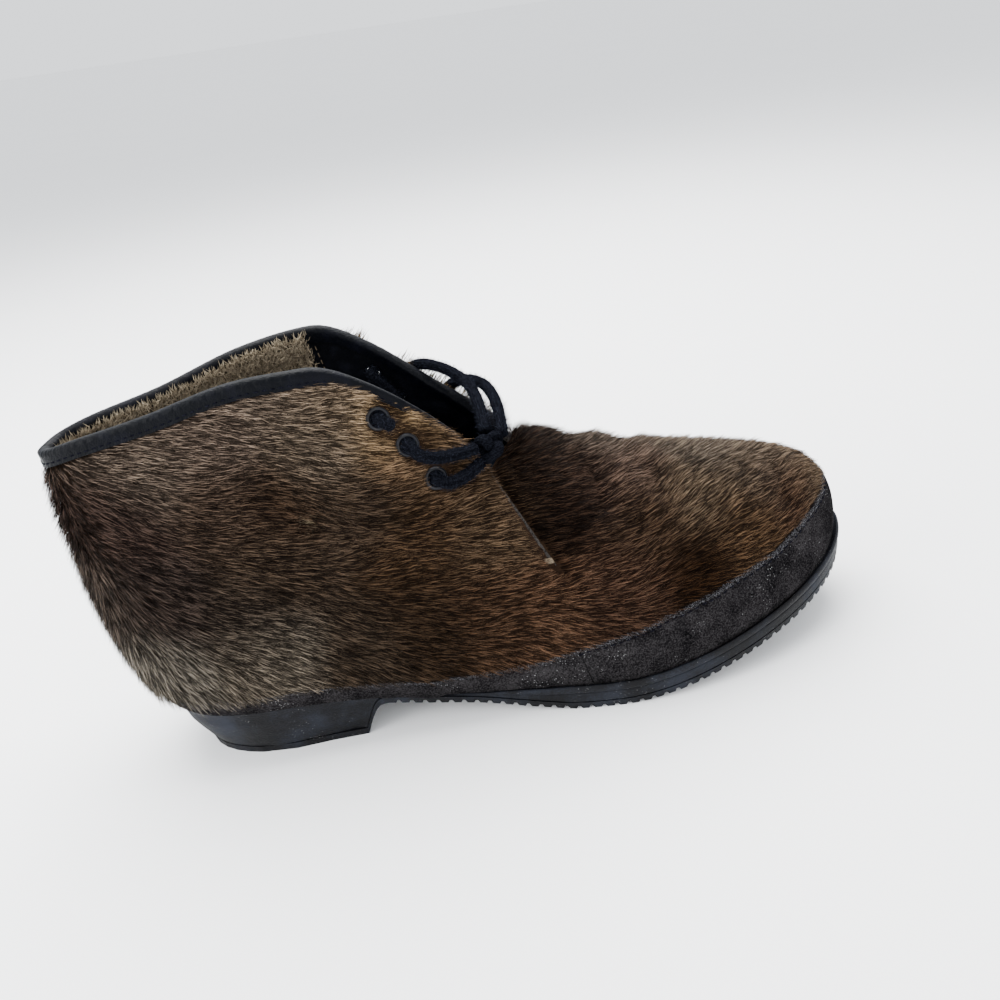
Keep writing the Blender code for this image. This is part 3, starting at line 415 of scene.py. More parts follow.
    def form(self, side: int, place: Any, share: Any) -> np.ndarray:
        """Points of the upper's form for places on the outline and shares of the ribs."""
        place, share = matched(place, share)
        q, v = list(zip(*self.quarter_ribs)), list(zip(*self.vamp_ribs))
        blend = self.past_flap(place)
        foot_x, foot_y = self.edge(side, place, self.upper_inset(place))
        foot_z = self.sole_top(foot_x) + self.seat_gap
        top = self.top_line(side, place)
        shaft = smooth(place, q[0], q[6]) * (1 - blend)
        swell = (1 - blend) * smooth(place, q[0], q[7]) + blend * smooth(place, v[0], v[2])
        at, of_side, of_top = zip(*self.squareness)
        angle = share * math.pi / 2
        inwards = 1 - np.maximum(np.cos(angle), 0) ** smooth(place, at, of_side)
        inwards = np.where(share >= 1, 1.0, inwards)
        inwards = shaft * share + (1 - shaft) * inwards
        upwards = shaft * share + (1 - shaft) * np.sin(angle) ** smooth(place, at, of_top)
        straight = np.maximum(shaft, np.clip((place - self.pole_place + 0.03) / 0.03, 0, 1))
        forwards = inwards + (1 - straight) * (inwards - inwards**2)
        level = self.level(side, place)
        bulge = self.ankle_swell * swell * np.sin(math.pi * share**0.6)
        x = foot_x + (top[..., 0] - foot_x) * forwards + level[..., 0] * bulge
        y = foot_y + (top[..., 1] - foot_y) * inwards + level[..., 1] * bulge
        slope = self.ridge_slope(top[..., 0] / self.sole_length)
        z = foot_z + (top[..., 2] - foot_z) * upwards + blend * slope * (x - top[..., 0]) * share**2
        return np.stack([x, y, z], axis=-1)

    def outwards(self, side: int, place: Any, share: Any) -> np.ndarray:
        """Unit directions that point out of the form."""
        place, share = matched(place, share)
        step = 0.002
        low, high = np.clip(share - step, 0, 0.985), np.clip(share + step, 0.004, 0.99)
        before, after = np.clip(place - step, 0, 1), np.clip(place + step, 0, 1)
        crosses = (place <= self.flap_place) & (after > self.flap_place)
        after = np.where(crosses, place, after)
        before = np.where((place > self.flap_place) & (before <= self.flap_place), place, before)
        mid = np.clip(share, 0, 0.985)
        up = self.form(side, place, high) - self.form(side, place, low)
        on = self.form(side, after, mid) - self.form(side, before, mid)
        normal = unit(side * np.cross(up, on))
        along = self.top_line(side, place)[..., 0] / self.sole_length
        fall = -self.ridge_slope(along)
        upright = unit(np.stack([fall, np.zeros_like(fall), np.ones_like(fall)], axis=-1))
        on_ridge = (share >= 1) & (place >= self.ridge_place)
        normal = np.where((share <= 0)[..., None], self.level(side, place), normal)
        return np.where(on_ridge[..., None], upright, normal)

    def seam_share(self, place: Any) -> np.ndarray:
        """The share of a rib at which the quarter's lower seam crosses it."""
        at, seam = zip(*self.quarter_seam)
        return smooth(np.minimum(place, self.flap_place), at, seam)

    def quarter_cover(self, place: Any, share: Any) -> np.ndarray:
        """1 where the quarter lies over the vamp or stands alone, 0 on the bare vamp."""
        above = np.clip((share - self.seam_share(place)) / self.seam_rise, 0, 1)
        return np.where(np.asarray(place) <= self.flap_place, above, 0.0)

    def skin(self, side: int, place: Any, share: Any, height: Any = 0.0) -> np.ndarray:
        """Points on the upper's outer face, lifted by height."""
        lift = self.flap_step * self.quarter_cover(place, share) + height
        return self.form(side, place, share) + self.outwards(side, place, share) * np.asarray(lift)[..., None]

    def lining(self, side: int, place: Any, share: Any, height: Any = 0.0) -> np.ndarray:
        """Points on the upper's inner face, moved inwards by -height."""
        fades = np.clip((self.flap_place - 0.01 - np.asarray(place)) / 0.05, 0, 1)
        lift = self.flap_step * self.quarter_cover(place, share) * fades - self.wall + height
        return self.form(side, place, share) + self.outwards(side, place, share) * np.asarray(lift)[..., None]

    @lru_cache(maxsize=2)
    def rand_line(self, side: int) -> tuple[np.ndarray, np.ndarray]:
        """Places of a side and the shares of their ribs at which the rand ends."""
        places, shares = np.linspace(0, 1, 101), np.linspace(0, 1, 160)
        at, share = zip(*self.rand)
        tall = self.rand_height * smooth(places, at, share)
        z = self.form(side, places[:, None], shares[None, :])[..., 2]
        return places, np.array([np.interp(h, row - row[0], shares) for h, row in zip(tall, z)])

    def rand_top(self, side: int, place: Any) -> np.ndarray:
        """The share of a rib at which the rand ends."""
        return np.interp(place, *self.rand_line(int(side)))

    def creased(self, side: int, place: Any, share: Any, height: Any = 0.0) -> np.ndarray:
        """Points on the outer face with the wearer's creases in it, lifted by height."""
        place, share = matched(place, share)
        points = self.skin(side, place, share)
        lift = np.zeros(place.shape)
        for crease in CREASES:
            spots = [self.skin(s, np.array(p), np.array(h)) for s, p, h in crease.way]
            line = open_spline(spots, 1.5 * MM)
            away = np.full(place.shape, np.inf)
            for spot in line:
                away = np.minimum(away, np.linalg.norm(points - spot, axis=-1))
            shoulder = 0.3 * np.exp(-(((away - 1.9 * crease.width) / crease.width) ** 2))
            lift -= crease.depth * (np.exp(-((away / crease.width) ** 2)) - shoulder)
        low = np.clip((share - self.rand_top(side, place) - 0.02) / 0.10, 0, 1)
        high = np.where(place < self.ridge_place, np.clip((0.99 - share) / 0.10, 0, 1), 1.0)
        total = lift * low * high + height
        return points + self.outwards(side, place, share) * total[..., None]


FORM = BootForm()


def grid_quads(rows: int, columns: int, closed: bool = False, first: int = 0) -> np.ndarray:
    """Quads of a grid of points, row by row.

    Args:
        rows: How many rows of points there are.
        columns: How many points are in a row.
        closed: Whether a row's last point joins its first.
        first: The index of the grid's first point.

    Returns:
        Four point numbers for each quad.
    """
    r, c = np.meshgrid(np.arange(rows - 1), np.arange(columns if closed else columns - 1), indexing="ij")
    r, c = r.ravel(), c.ravel()
    n = (c + 1) % columns
    here, there = first + r * columns, first + (r + 1) * columns
    return np.stack([here + c, here + n, there + n, there + c], axis=1)


def linked(name: str, data: Any) -> bpy.types.Object:
    """A new object with this data, in the scene."""
    made = bpy.data.objects.new(name, data)
    bpy.context.scene.collection.objects.link(made)
    return made


def mesh_object(
    name: str,
    points: Any,
    faces: Any,
    finishes: Sequence[bpy.types.Material],
    slots: Any = None,
    merge: bool = True,
    sharp: float = 50,
) -> bpy.types.Object:
    """A mesh with its place in its points.

    Args:
        name: The object's name.
        points: Points, x from the back of the heel.
        faces: Point numbers of each face.
        finishes: Its materials.
        slots: Each face's material number, or None for the first.
        merge: Whether shared points are joined and the faces turned outwards.
        sharp: The angle in degrees from which an edge is sharp.

    Returns:
        The object, linked to the scene.
    """
    mesh = bpy.data.meshes.new(name)
    flat = [tuple(int(k) for k in face) for face in faces]
    mesh.from_pydata((np.asarray(points, float).reshape(-1, 3) - ORIGIN).tolist(), [], flat)
    for finish in finishes:
        mesh.materials.append(finish)
    if slots is not None:
        mesh.polygons.foreach_set("material_index", np.asarray(slots, np.int32))
    if merge:
        shape = bmesh.new()
        shape.from_mesh(mesh)
        bmesh.ops.remove_doubles(shape, verts=shape.verts, dist=0.00002)
        bmesh.ops.dissolve_degenerate(shape, edges=shape.edges, dist=0.000001)
        bmesh.ops.recalc_face_normals(shape, faces=shape.faces)
        shape.to_mesh(mesh)
        shape.free()
    mesh.shade_smooth()
    mesh.set_sharp_from_angle(angle=math.radians(sharp))
    return linked(name, mesh)


def swept(name: str, sections: Any, finish: bpy.types.Material, sharp: float = 50) -> bpy.types.Object:
    """A solid through closed sections of equal point counts, capped at both ends."""
    sections = np.asarray(sections, float)
    count, around = sections.shape[:2]
    faces = [*grid_quads(count, around, closed=True).tolist()]
    faces.append(list(range(around)))
    faces.append([(count - 1) * around + k for k in range(around)])
    return mesh_object(name, sections, faces, [finish], sharp=sharp)


def sheet_normals(points: np.ndarray, towards: np.ndarray) -> np.ndarray:
    """Unit normals of a grid of points, turned to the same side as towards."""
    normal = unit(np.cross(np.gradient(points, axis=0), np.gradient(points, axis=1)))
    return normal * np.sign(np.sum(normal * towards, axis=-1, keepdims=True))


def settled(name: str, carrier: bpy.types.Object) -> bpy.types.Object:
    """Turns what a carrier's modifiers make into a plain mesh and removes the carrier."""
    graph = bpy.context.evaluated_depsgraph_get()
    mesh = bpy.data.meshes.new_from_object(carrier.evaluated_get(graph), depsgraph=graph)
    mesh.name = name
    bpy.data.objects.remove(carrier)
    return linked(name, mesh)


def placed(piece: bpy.types.Object, slot: str, *nodes: str) -> bpy.types.Object:
    """Lets a piece ride on the boot and stand for CAD nodes, which it hides."""
    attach(piece, "root")
    if nodes:
        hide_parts(*nodes)
    log.info("%s: %d faces", piece.name, len(piece.data.polygons))
    return piece


Colour = tuple[float, float, float]


class Channel:
    """A socket of a material's nodes that takes arithmetic."""

    def __init__(self, board: "Board", socket: bpy.types.NodeSocket) -> None:
        """Wraps a socket of a board."""
        self.board = board
        self.socket = socket

    def _maths(self, operation: str, first: Any, second: Any) -> "Channel":
        """The result of a Math node."""
        node = self.board.node("ShaderNodeMath", {"operation": operation}, {0: first, 1: second})
        return Channel(self.board, node.outputs[0])

    def __add__(self, other: Any) -> "Channel":
        """The sum."""
        return self._maths("ADD", self, other)

    def __rsub__(self, other: Any) -> "Channel":
        """The difference from a value."""
        return self._maths("SUBTRACT", other, self)

    def __mul__(self, other: Any) -> "Channel":
        """The product."""
        return self._maths("MULTIPLY", self, other)

    def __pow__(self, other: Any) -> "Channel":
        """The power."""
        return self._maths("POWER", self, other)

    def above(self, low: float, high: float) -> "Channel":
        """0 below low, 1 above high, smooth between."""
        settings = {"interpolation_type": "SMOOTHSTEP"}
        sockets = {"Value": self, "From Min": low, "From Max": high}
        return Channel(self.board, self.board.node("ShaderNodeMapRange", settings, sockets).outputs[0])


class Board:
    """The node tree of one material."""

    def __init__(self, name: str) -> None:
        """Starts a material with a Principled shader."""
        self.material = bpy.data.materials.new(name)
        self.material.use_nodes = True
        self.tree = self.material.node_tree
        self.shader = self.tree.nodes["Principled BSDF"]

    def node(self, kind: str, settings: dict[str, Any], sockets: dict[Any, Any]) -> bpy.types.Node:
        """Adds a node.

        Args:
            kind: The node's type.
            settings: Its properties, set first.
            sockets: Values or links of its inputs, by name or number.

        Returns:
            The node.
        """
        node = self.tree.nodes.new(kind)
        for name, value in settings.items():
            setattr(node, name, value)
        for key, value in sockets.items():
            self.fill(node.inputs[key], value)
        return node

    def fill(self, socket: bpy.types.NodeSocket, value: Any) -> None:
        """Links a channel to an input or sets its value."""
        if isinstance(value, Channel):
            self.tree.links.new(value.socket, socket)
        elif isinstance(value, tuple) and len(value) == 3 and socket.type == "RGBA":
            socket.default_value = (*value, 1)
        else:
            socket.default_value = value

    def here(self, stretch: tuple[float, float, float] = (1, 1, 1)) -> Channel:
        """Object coordinates, stretched."""
        where = self.node("ShaderNodeTexCoord", {}, {})
        sockets = {"Vector": Channel(self, where.outputs["Object"]), "Scale": stretch}
        return Channel(self, self.node("ShaderNodeMapping", {}, sockets).outputs[0])

    def told(self, name: str, colour: bool = False) -> Channel:
        """A mesh attribute, as a number or as a colour."""
        node = self.node("ShaderNodeAttribute", {"attribute_name": name}, {})
        return Channel(self, node.outputs["Color" if colour else "Fac"])

    def noise(self, where: Channel, scale: float, detail: float = 3.0, roughness: float = 0.55) -> Channel:
        """Noise from 0 to 1."""
        sockets = {"Vector": where, "Scale": scale, "Detail": detail, "Roughness": roughness}
        return Channel(self, self.node("ShaderNodeTexNoise", {}, sockets).outputs[0])

    def cells(self, where: Channel, scale: float) -> Channel:
        """Distance to the nearest of scattered points."""
        sockets = {"Vector": where, "Scale": scale}
        return Channel(self, self.node("ShaderNodeTexVoronoi", {}, sockets).outputs[0])

    def specks(self, where: Channel, scale: float) -> Channel:
        """1 in the middle of scattered specks, 0 between them."""
        return (0.17 - self.cells(where, scale)).above(0.0, 0.1)

    def mixed(self, share: Any, first: Any, second: Any) -> Channel:
        """A colour between two."""
        settings = {"data_type": "RGBA", "clamp_factor": True}
        node = self.node("ShaderNodeMix", settings, {0: share})
        for index, value in ((6, first), (7, second)):
            self.fill(node.inputs[index], value)
        return Channel(self, node.outputs[2])

    def scaled(self, colour: Any, amount: Channel) -> Channel:
        """A colour made lighter or darker by a channel."""
        node = self.node("ShaderNodeVectorMath", {"operation": "SCALE"}, {0: colour, "Scale": amount})
        return Channel(self, node.outputs[0])

    def bumped(self, height: Channel, distance: float) -> None:
        """Lets a height roughen the surface."""
        bump = self.node("ShaderNodeBump", {}, {"Height": height, "Distance": distance, "Strength": 1.0})
        self.tree.links.new(bump.outputs[0], self.shader.inputs["Normal"])

    def finished(self, **sockets: Any) -> bpy.types.Material:
        """Fills the shader's sockets, named with low lines for spaces, and returns the material."""
        for name, value in sockets.items():
            self.fill(self.shader.inputs[name.replace("_", " ").title().replace("Ior", "IOR")], value)
        return self.material


@dataclass(frozen=True)
class HairFinish:
    """Hair whose coat colour, place along the strand and own tone are attributes."""

    name: str = "brown_hair"
    root_share: float = 0.06
    tip_share: float = 0.36
    guard: float = 4.4
    tip: Colour = tint(146, 136, 120)
    roughness: float = 0.5

    def made(self) -> bpy.types.Material:
        """Dark at the root and lighter at the tip, with paler guard hairs among the undercoat."""
        board = Board(self.name)
        along, tone = board.told("along"), board.told("tone")
        guard = tone.above(0.68, 0.84)
        shade = (along * (self.tip_share - self.root_share) + self.root_share) * (tone * 0.8 + 0.35)
        colour = board.scaled(board.told("coat", colour=True), shade + shade * guard * self.guard)
        pale = (along**2.0) * board.told("pale") * (guard * 0.5 + 0.05)
        coat = board.mixed(pale, colour, self.tip)
        return board.finished(base_color=coat, roughness=self.roughness, specular_ior_level=0.02)


@dataclass(frozen=True)
class HideFinish:
    """The skin under the hair: streaked and dark."""

    name: str = "brown_hide"
    dark: Colour = tint(16, 11, 8)
    light: Colour = tint(46, 34, 25)

    def made(self) -> bpy.types.Material:
        """Brown with streaks along the boot."""
        board = Board(self.name)
        streaks = board.noise(board.here((0.25, 0.25, 1.6)), 900)
        patches = board.noise(board.here(), 45)
        board.bumped(streaks, 0.5 * MM)
        share = streaks * 0.5 + patches * 0.5
        colour = board.mixed(share.above(0.3, 0.75), self.dark, self.light)
        return board.finished(base_color=colour, roughness=0.8, specular_ior_level=0.0)


@dataclass(frozen=True)
class SuedeFinish:
    """Napped suede with pale dust."""

    name: str
    dark: Colour
    light: Colour
    dust: Colour = tint(196, 196, 196)
    dusty: float = 0.55

    def made(self) -> bpy.types.Material:
        """Fine nap, cloudy wear and specks of dust."""
        board = Board(self.name)
        where = board.here()
        nap, clouds = board.noise(where, 1500, 5, 0.7), board.noise(where, 90, 4)
        specks = board.specks(where, 820) * board.noise(where, 60, 3).above(0.5, 0.64)
        colour = board.mixed((nap * 1.0 + clouds * 0.4).above(0.55, 0.92), self.dark, self.light)
        board.bumped(nap * 1.2 + clouds * 0.6, 0.6 * MM)
        colour = board.mixed(specks * self.dusty, colour, self.dust)
        return board.finished(base_color=colour, roughness=0.92, specular_ior_level=0.0)


@dataclass(frozen=True)
class RubberFinish:
    """Moulded rubber, scuffed and dusty."""

    name: str = "black_rubber"
    dark: Colour = tint(5, 5, 7)
    worn: Colour = tint(36, 39, 47)

    def made(self) -> bpy.types.Material:
        """Blue-black with grey scuffs and pale specks."""
        board = Board(self.name)
        where = board.here()
        grain, clouds = board.noise(where, 1500, 5, 0.65), board.noise(where, 60, 5, 0.6)
        scuffs = (clouds * 0.75 + grain * 0.4).above(0.5, 0.78)
        specks = board.specks(where, 900) * board.noise(where, 90, 3).above(0.48, 0.62)
        colour = board.mixed(scuffs * 0.8, self.dark, self.worn)
        board.bumped(grain * 0.9 + board.noise(where, 260, 3) * 0.8, 0.35 * MM)
        colour = board.mixed(specks * 0.5, colour, tint(150, 150, 150))
        roughness = scuffs * 0.25 + 0.5
        return board.finished(base_color=colour, roughness=roughness, specular_ior_level=0.12)


@dataclass(frozen=True)
class LeatherFinish:
    """Smooth dark leather with fine wrinkles."""

    name: str
    dark: Colour
    light: Colour
    roughness: float = 0.42

    def made(self) -> bpy.types.Material:
        """Pebbled, with lighter rubbed spots."""
        board = Board(self.name)
        where = board.here()
        pebbles = board.cells(where, 1500)
        folds, rubbed = board.noise(where, 420, 4), board.noise(where, 130, 4)
        board.bumped(pebbles * 0.5 + folds * 1.2, 0.22 * MM)
        colour = board.mixed(rubbed.above(0.45, 0.8), self.dark, self.light)
        roughness = folds * 0.3 + (self.roughness - 0.12)
        return board.finished(base_color=colour, roughness=roughness, specular_ior_level=0.06)


@dataclass(frozen=True)
class WoolFinish:
    """Felt, fleece or lace yarn: matted fibres."""

    name: str
    dark: Colour
    light: Colour
    scale: float = 900
    relief: float = 0.6 * MM

    def made(self) -> bpy.types.Material:
        """Fibres of two tones."""
        board = Board(self.name)
        where = board.here()
        matted, tufts = board.noise(where, self.scale, 5, 0.7), board.noise(where, self.scale / 4, 3)
        board.bumped(matted * 0.8 + tufts, self.relief)
        colour = board.mixed((matted * 0.6 + tufts * 0.5).above(0.35, 0.8), self.dark, self.light)
        return board.finished(base_color=colour, roughness=0.95, specular_ior_level=0.0)


@dataclass(frozen=True)
class StrandFinish:
    """Loose fibres, darker at the root, each with its own tone."""

    name: str
    dark: Colour
    light: Colour

    def made(self) -> bpy.types.Material:
        """Two tones by strand and by place along it."""
        board = Board(self.name)
        share = board.told("tone") * 0.6 + board.told("along") * 0.5
        colour = board.mixed(share.above(0.1, 1.0), self.dark, self.light)
        return board.finished(base_color=colour, roughness=0.8, specular_ior_level=0.0)


@dataclass(frozen=True)
class LaceFinish:
    """A woven lace, its braid drawn along its own length."""

    name: str = "black_lace"
    dark: Colour = tint(3, 3, 5)
    light: Colour = tint(27, 29, 35)

    def made(self) -> bpy.types.Material:
        """Slanted yarns from the attributes round and run, in millimetres."""
        board = Board(self.name)
        run, turn = board.told("run"), board.told("round")
        yarns = []
        for lean in (1.0, -1.0):
            wave = board.node("ShaderNodeMath", {"operation": "SINE"}, {0: run * 4.6 + turn * (6.0 * lean)})
            yarns.append(Channel(board, wave.outputs[0]))
        weave = (yarns[0] * yarns[1]) * 0.5 + 0.5
        where = board.here()
        fuzz = board.noise(where, 2200, 4, 0.7)
        board.bumped(weave * 0.35 + fuzz * 1.1, 0.55 * MM)
        colour = board.mixed((weave * 0.14 + fuzz * 0.9).above(0.35, 0.8), self.dark, self.light)
        return board.finished(base_color=colour, roughness=0.93, specular_ior_level=0.0)


@dataclass(frozen=True)
class EnamelFinish:
    """Painted metal, worn through to bright brass in spots."""

    name: str = "black_enamel"

    def made(self) -> bpy.types.Material:
        """Black paint with bare spots."""
        board = Board(self.name)
        bare = board.noise(board.here(), 900, 4).above(0.62, 0.7)
        colour = board.mixed(bare, tint(7, 8, 13), tint(64, 60, 56))
        metallic = bare * 0.7
        return board.finished(
            base_color=colour, metallic=metallic, roughness=0.36, specular_ior_level=0.2
        )


@dataclass(frozen=True)
class FloorFinish:
    """A plain pale floor."""

    name: str = "pale_floor"

    def made(self) -> bpy.types.Material:
        """Nearly white, faintly uneven."""
        board = Board(self.name)
        cloud = board.noise(board.here(), 3, 2)
        colour = board.mixed(cloud, (0.90, 0.905, 0.91), (0.93, 0.93, 0.93))
        return board.finished(base_color=colour, roughness=0.85)


class Finishes:
    """Every finish of the boot, made once."""

    def __init__(self) -> None:
        """Makes the finishes."""
        self.hair, self.hide = HairFinish().made(), HideFinish().made()
        self.cut_edge = SuedeFinish("cut_edge", tint(24, 22, 21), tint(66, 62, 59), dusty=0.1).made()
        self.suede = SuedeFinish("grey_suede", tint(6, 6, 7), tint(50, 48, 49)).made()
        self.rubber = RubberFinish().made()
        self.binding = LeatherFinish("navy_leather", tint(1, 2, 5), tint(6, 7, 15)).made()
        self.facing = LeatherFinish("facing_lining", tint(4, 5, 8), tint(16, 17, 23)).made()
        self.felt = WoolFinish("dark_felt", tint(3, 5, 8), tint(17, 26, 34), 700).made()
        fleece = WoolFinish("brown_fleece", tint(84, 73, 56), tint(150, 136, 112), 600, 1.2 * MM)
        self.fleece = fleece.made()
        self.lace = LaceFinish().made()
        self.lace_fuzz = StrandFinish("lace_fuzz", tint(6, 7, 10), tint(44, 47, 57)).made()
        self.pile = StrandFinish("fleece_pile", tint(76, 67, 54), tint(148, 136, 116)).made()
        self.nap = StrandFinish("suede_nap", tint(34, 34, 38), tint(120, 120, 124)).made()
        self.thread = WoolFinish("dark_thread", tint(5, 5, 8), tint(24, 25, 33), 2500, 0.1 * MM).made()
        pale = WoolFinish("pale_thread", tint(60, 52, 43), tint(116, 104, 88), 2500, 0.1 * MM)
        self.pale_thread = pale.made()
        self.enamel, self.floor = EnamelFinish().made(), FloorFinish().made()


class Grower:
    """Geometry Nodes with named inputs, built node by node."""

    def __init__(self, name: str, inputs: Sequence[tuple[str, str]]) -> None:
        """Starts a tree with a geometry input, further inputs and a geometry output."""
        self.tree = bpy.data.node_groups.new(name, "GeometryNodeTree")
        face = self.tree.interface
        self.sockets = {}
        for label, kind in (("Geometry", "NodeSocketGeometry"), *inputs):
            self.sockets[label] = face.new_socket(label, in_out="INPUT", socket_type=kind).identifier
        face.new_socket("Geometry", in_out="OUTPUT", socket_type="NodeSocketGeometry")
        self.start = self.tree.nodes.new("NodeGroupInput")
        self.end = self.tree.nodes.new("NodeGroupOutput")

    def given(self, label: str) -> bpy.types.NodeSocket:
        """The socket of a named input."""
        return self.start.outputs[label]

    def node(self, kind: str, settings: dict[str, Any], sockets: dict[Any, Any]) -> bpy.types.Node:
        """Adds a node with settings, and values or links of its inputs."""
        node = self.tree.nodes.new(kind)
        for name, value in settings.items():
            setattr(node, name, value)
        for key, value in sockets.items():
            if isinstance(value, bpy.types.NodeSocket):
                self.tree.links.new(value, node.inputs[key])
            else:
                node.inputs[key].default_value = value
        return node

    def named(self, name: str, kind: str) -> bpy.types.NodeSocket:
        """A named attribute of the geometry."""
        return self.node("GeometryNodeInputNamedAttribute", {"data_type": kind}, {"Name": name}).outputs[0]

    def chance(self, low: float, high: float, seed: int) -> bpy.types.NodeSocket:
        """A random number for each point."""
        sockets = {2: low, 3: high, 8: seed}
        return self.node("FunctionNodeRandomValue", {"data_type": "FLOAT"}, sockets).outputs[1]

    def times(self, first: Any, second: Any) -> bpy.types.NodeSocket:
        """A product."""
        return self.node("ShaderNodeMath", {"operation": "MULTIPLY"}, {0: first, 1: second}).outputs[0]

    def added(self, first: Any, second: Any) -> bpy.types.NodeSocket:
        """The sum of two vectors."""
        return self.node("ShaderNodeVectorMath", {"operation": "ADD"}, {0: first, 1: second}).outputs[0]

    def closes(self, points: bpy.types.NodeSocket, kind: bpy.types.Object, turn: Any, size: Any) -> None:
        """Sets an object on the points, makes it real, gives it the finish and ends the tree."""
        shape = self.node("GeometryNodeObjectInfo", {}, {"Object": kind})
        sockets = {"Points": points, "Instance": shape.outputs["Geometry"], "Rotation": turn, "Scale": size}
        placed_on = self.node("GeometryNodeInstanceOnPoints", {}, sockets)
        real = self.node("GeometryNodeRealizeInstances", {}, {0: placed_on.outputs[0]})
        sockets = {0: real.outputs[0], "Material": self.given("Finish")}
        dressed = self.node("GeometryNodeSetMaterial", {}, sockets)
        self.tree.links.new(dressed.outputs[0], self.end.inputs[0])

    def grown(self, name: str, carrier: bpy.types.Object, values: dict[str, Any]) -> bpy.types.Object:
        """Runs the tree on a carrier and returns the plain mesh."""
        run = carrier.modifiers.new(name, "NODES")
        run.node_group = self.tree
        for label, value in values.items():
            run[self.sockets[label]] = value
        return settled(name, carrier)


@dataclass(frozen=True)
class Strands:
    """Plants fibres on sheets: each follows its sheet's flow, with its own length, roll and tone."""

    name: str
    length: float
    width: float
    bow: float
    jitter: float
    roll: float = 0.9
    locks: float = 420
    pull: float = 0.0

    def strand(self) -> bpy.types.Object:
        """One strand: a narrow blade, bowed and tapered, with an attribute for the way along it."""
        half = self.width / 2
        points = [(0, -half, 0), (0, half, 0), (self.bow, -0.9 * half, self.length * 0.5)]
        points += [(self.bow, 0.9 * half, self.length * 0.5), (0, 0, self.length)]
        mesh = bpy.data.meshes.new(f"{self.name}_strand")
        mesh.from_pydata(points, [], [(0, 1, 3), (0, 3, 2), (2, 3, 4)])
        along = mesh.attributes.new("along", "FLOAT", "POINT")
        along.data.foreach_set("value", [0.0, 0.0, 0.5, 0.5, 1.0])
        return linked(mesh.name, mesh)

    def tree(self, shape: bpy.types.Object) -> Grower:
        """The tree that plants copies of a strand."""
        inputs = (("Density", "NodeSocketFloat"), ("Seed", "NodeSocketInt"), ("Finish", "NodeSocketMaterial"))
        grower = Grower(f"{self.name}_growth", inputs)
        cover = grower.times(grower.named("cover", "FLOAT"), grower.given("Density"))
        sockets = {"Mesh": grower.given("Geometry"), "Density": cover, "Seed": grower.given("Seed")}
        spread = grower.node("GeometryNodeDistributePointsOnFaces", {"distribute_method": "RANDOM"}, sockets)
        settings = {"data_type": "FLOAT", "domain": "POINT"}
        sockets = {"Geometry": spread.outputs["Points"], "Name": "tone", "Value": grower.chance(0, 1, 5)}
        toned = grower.node("GeometryNodeStoreNamedAttribute", settings, sockets)
        reach = (self.jitter,) * 3
        sockets = {0: tuple(-v for v in reach), 1: reach, 8: 3}
        wander = grower.node("FunctionNodeRandomValue", {"data_type": "FLOAT_VECTOR"}, sockets)
        where = grower.node("GeometryNodeInputPosition", {}, {}).outputs[0]
        sockets = {"Vector": where, "Scale": self.locks, "Detail": 1.0}
        lock = grower.node("ShaderNodeTexNoise", {}, sockets)
        sockets = {0: lock.outputs["Color"], 1: (self.pull,) * 3, 2: (-self.pull / 2,) * 3}
        lean = grower.node("ShaderNodeVectorMath", {"operation": "MULTIPLY_ADD"}, sockets)
        drift = grower.added(lean.outputs[0], wander.outputs[0])
        heading = grower.added(grower.named("flow", "FLOAT_VECTOR"), drift)
        upright = grower.node("FunctionNodeAlignRotationToVector", {"axis": "Z"}, {"Vector": heading})
        settings = {"axis": "X", "pivot_axis": "Z"}
        sockets = {"Rotation": upright.outputs[0], "Vector": spread.outputs["Normal"]}
        facing = grower.node("FunctionNodeAlignRotationToVector", settings, sockets)
        sockets = {"Axis": (0, 0, 1), "Angle": grower.chance(-self.roll, self.roll, 9)}
        twist = grower.node("FunctionNodeAxisAngleToRotation", {}, sockets)
        sockets = {"Rotation": facing.outputs[0], "Rotate By": twist.outputs[0]}
        turned = grower.node("FunctionNodeRotateRotation", {"rotation_space": "LOCAL"}, sockets)
        size = grower.times(grower.named("long", "FLOAT"), grower.chance(0.7, 1.2, 7))
        grower.closes(toned.outputs[0], shape, turned.outputs[0], size)
        return grower

    def grow(self, slot: str, finish: bpy.types.Material, beds: Sequence[tuple]) -> None:
        """Plants every bed and places the pieces.

        Args:
            slot: The pieces' slot.
            finish: The strands' material.
            beds: For each piece its name, its sheet from sown, about how many strands it has and its seed.
        """
        shape = self.strand()
        tree = self.tree(shape)
        pieces = [self.planted(tree, finish, *bed) for bed in beds]
        bpy.data.objects.remove(shape)
        for piece in pieces:
            placed(piece, slot)

    def planted(
        self,
        tree: Grower,
        finish: bpy.types.Material,
        name: str,
        sheet: bpy.types.Object,
        count: int,
        seed: int,
    ) -> bpy.types.Object:
        """The strands of one sheet as a plain mesh, each with its own cell of the OFBake map."""
        mesh = sheet.data
        areas, cover = np.empty(len(mesh.polygons)), np.empty(len(mesh.vertices))
        mesh.polygons.foreach_get("area", areas)
        mesh.attributes["cover"].data.foreach_get("value", cover)
        corners = np.array([p.vertices[:4] for p in mesh.polygons])
        weighted = float(np.sum(areas * cover[corners].mean(axis=1)))
        values = {"Density": count / weighted, "Seed": seed, "Finish": finish}
        made = tree.grown(name, sheet, values)
        self.map_cells(made.data)
        return made

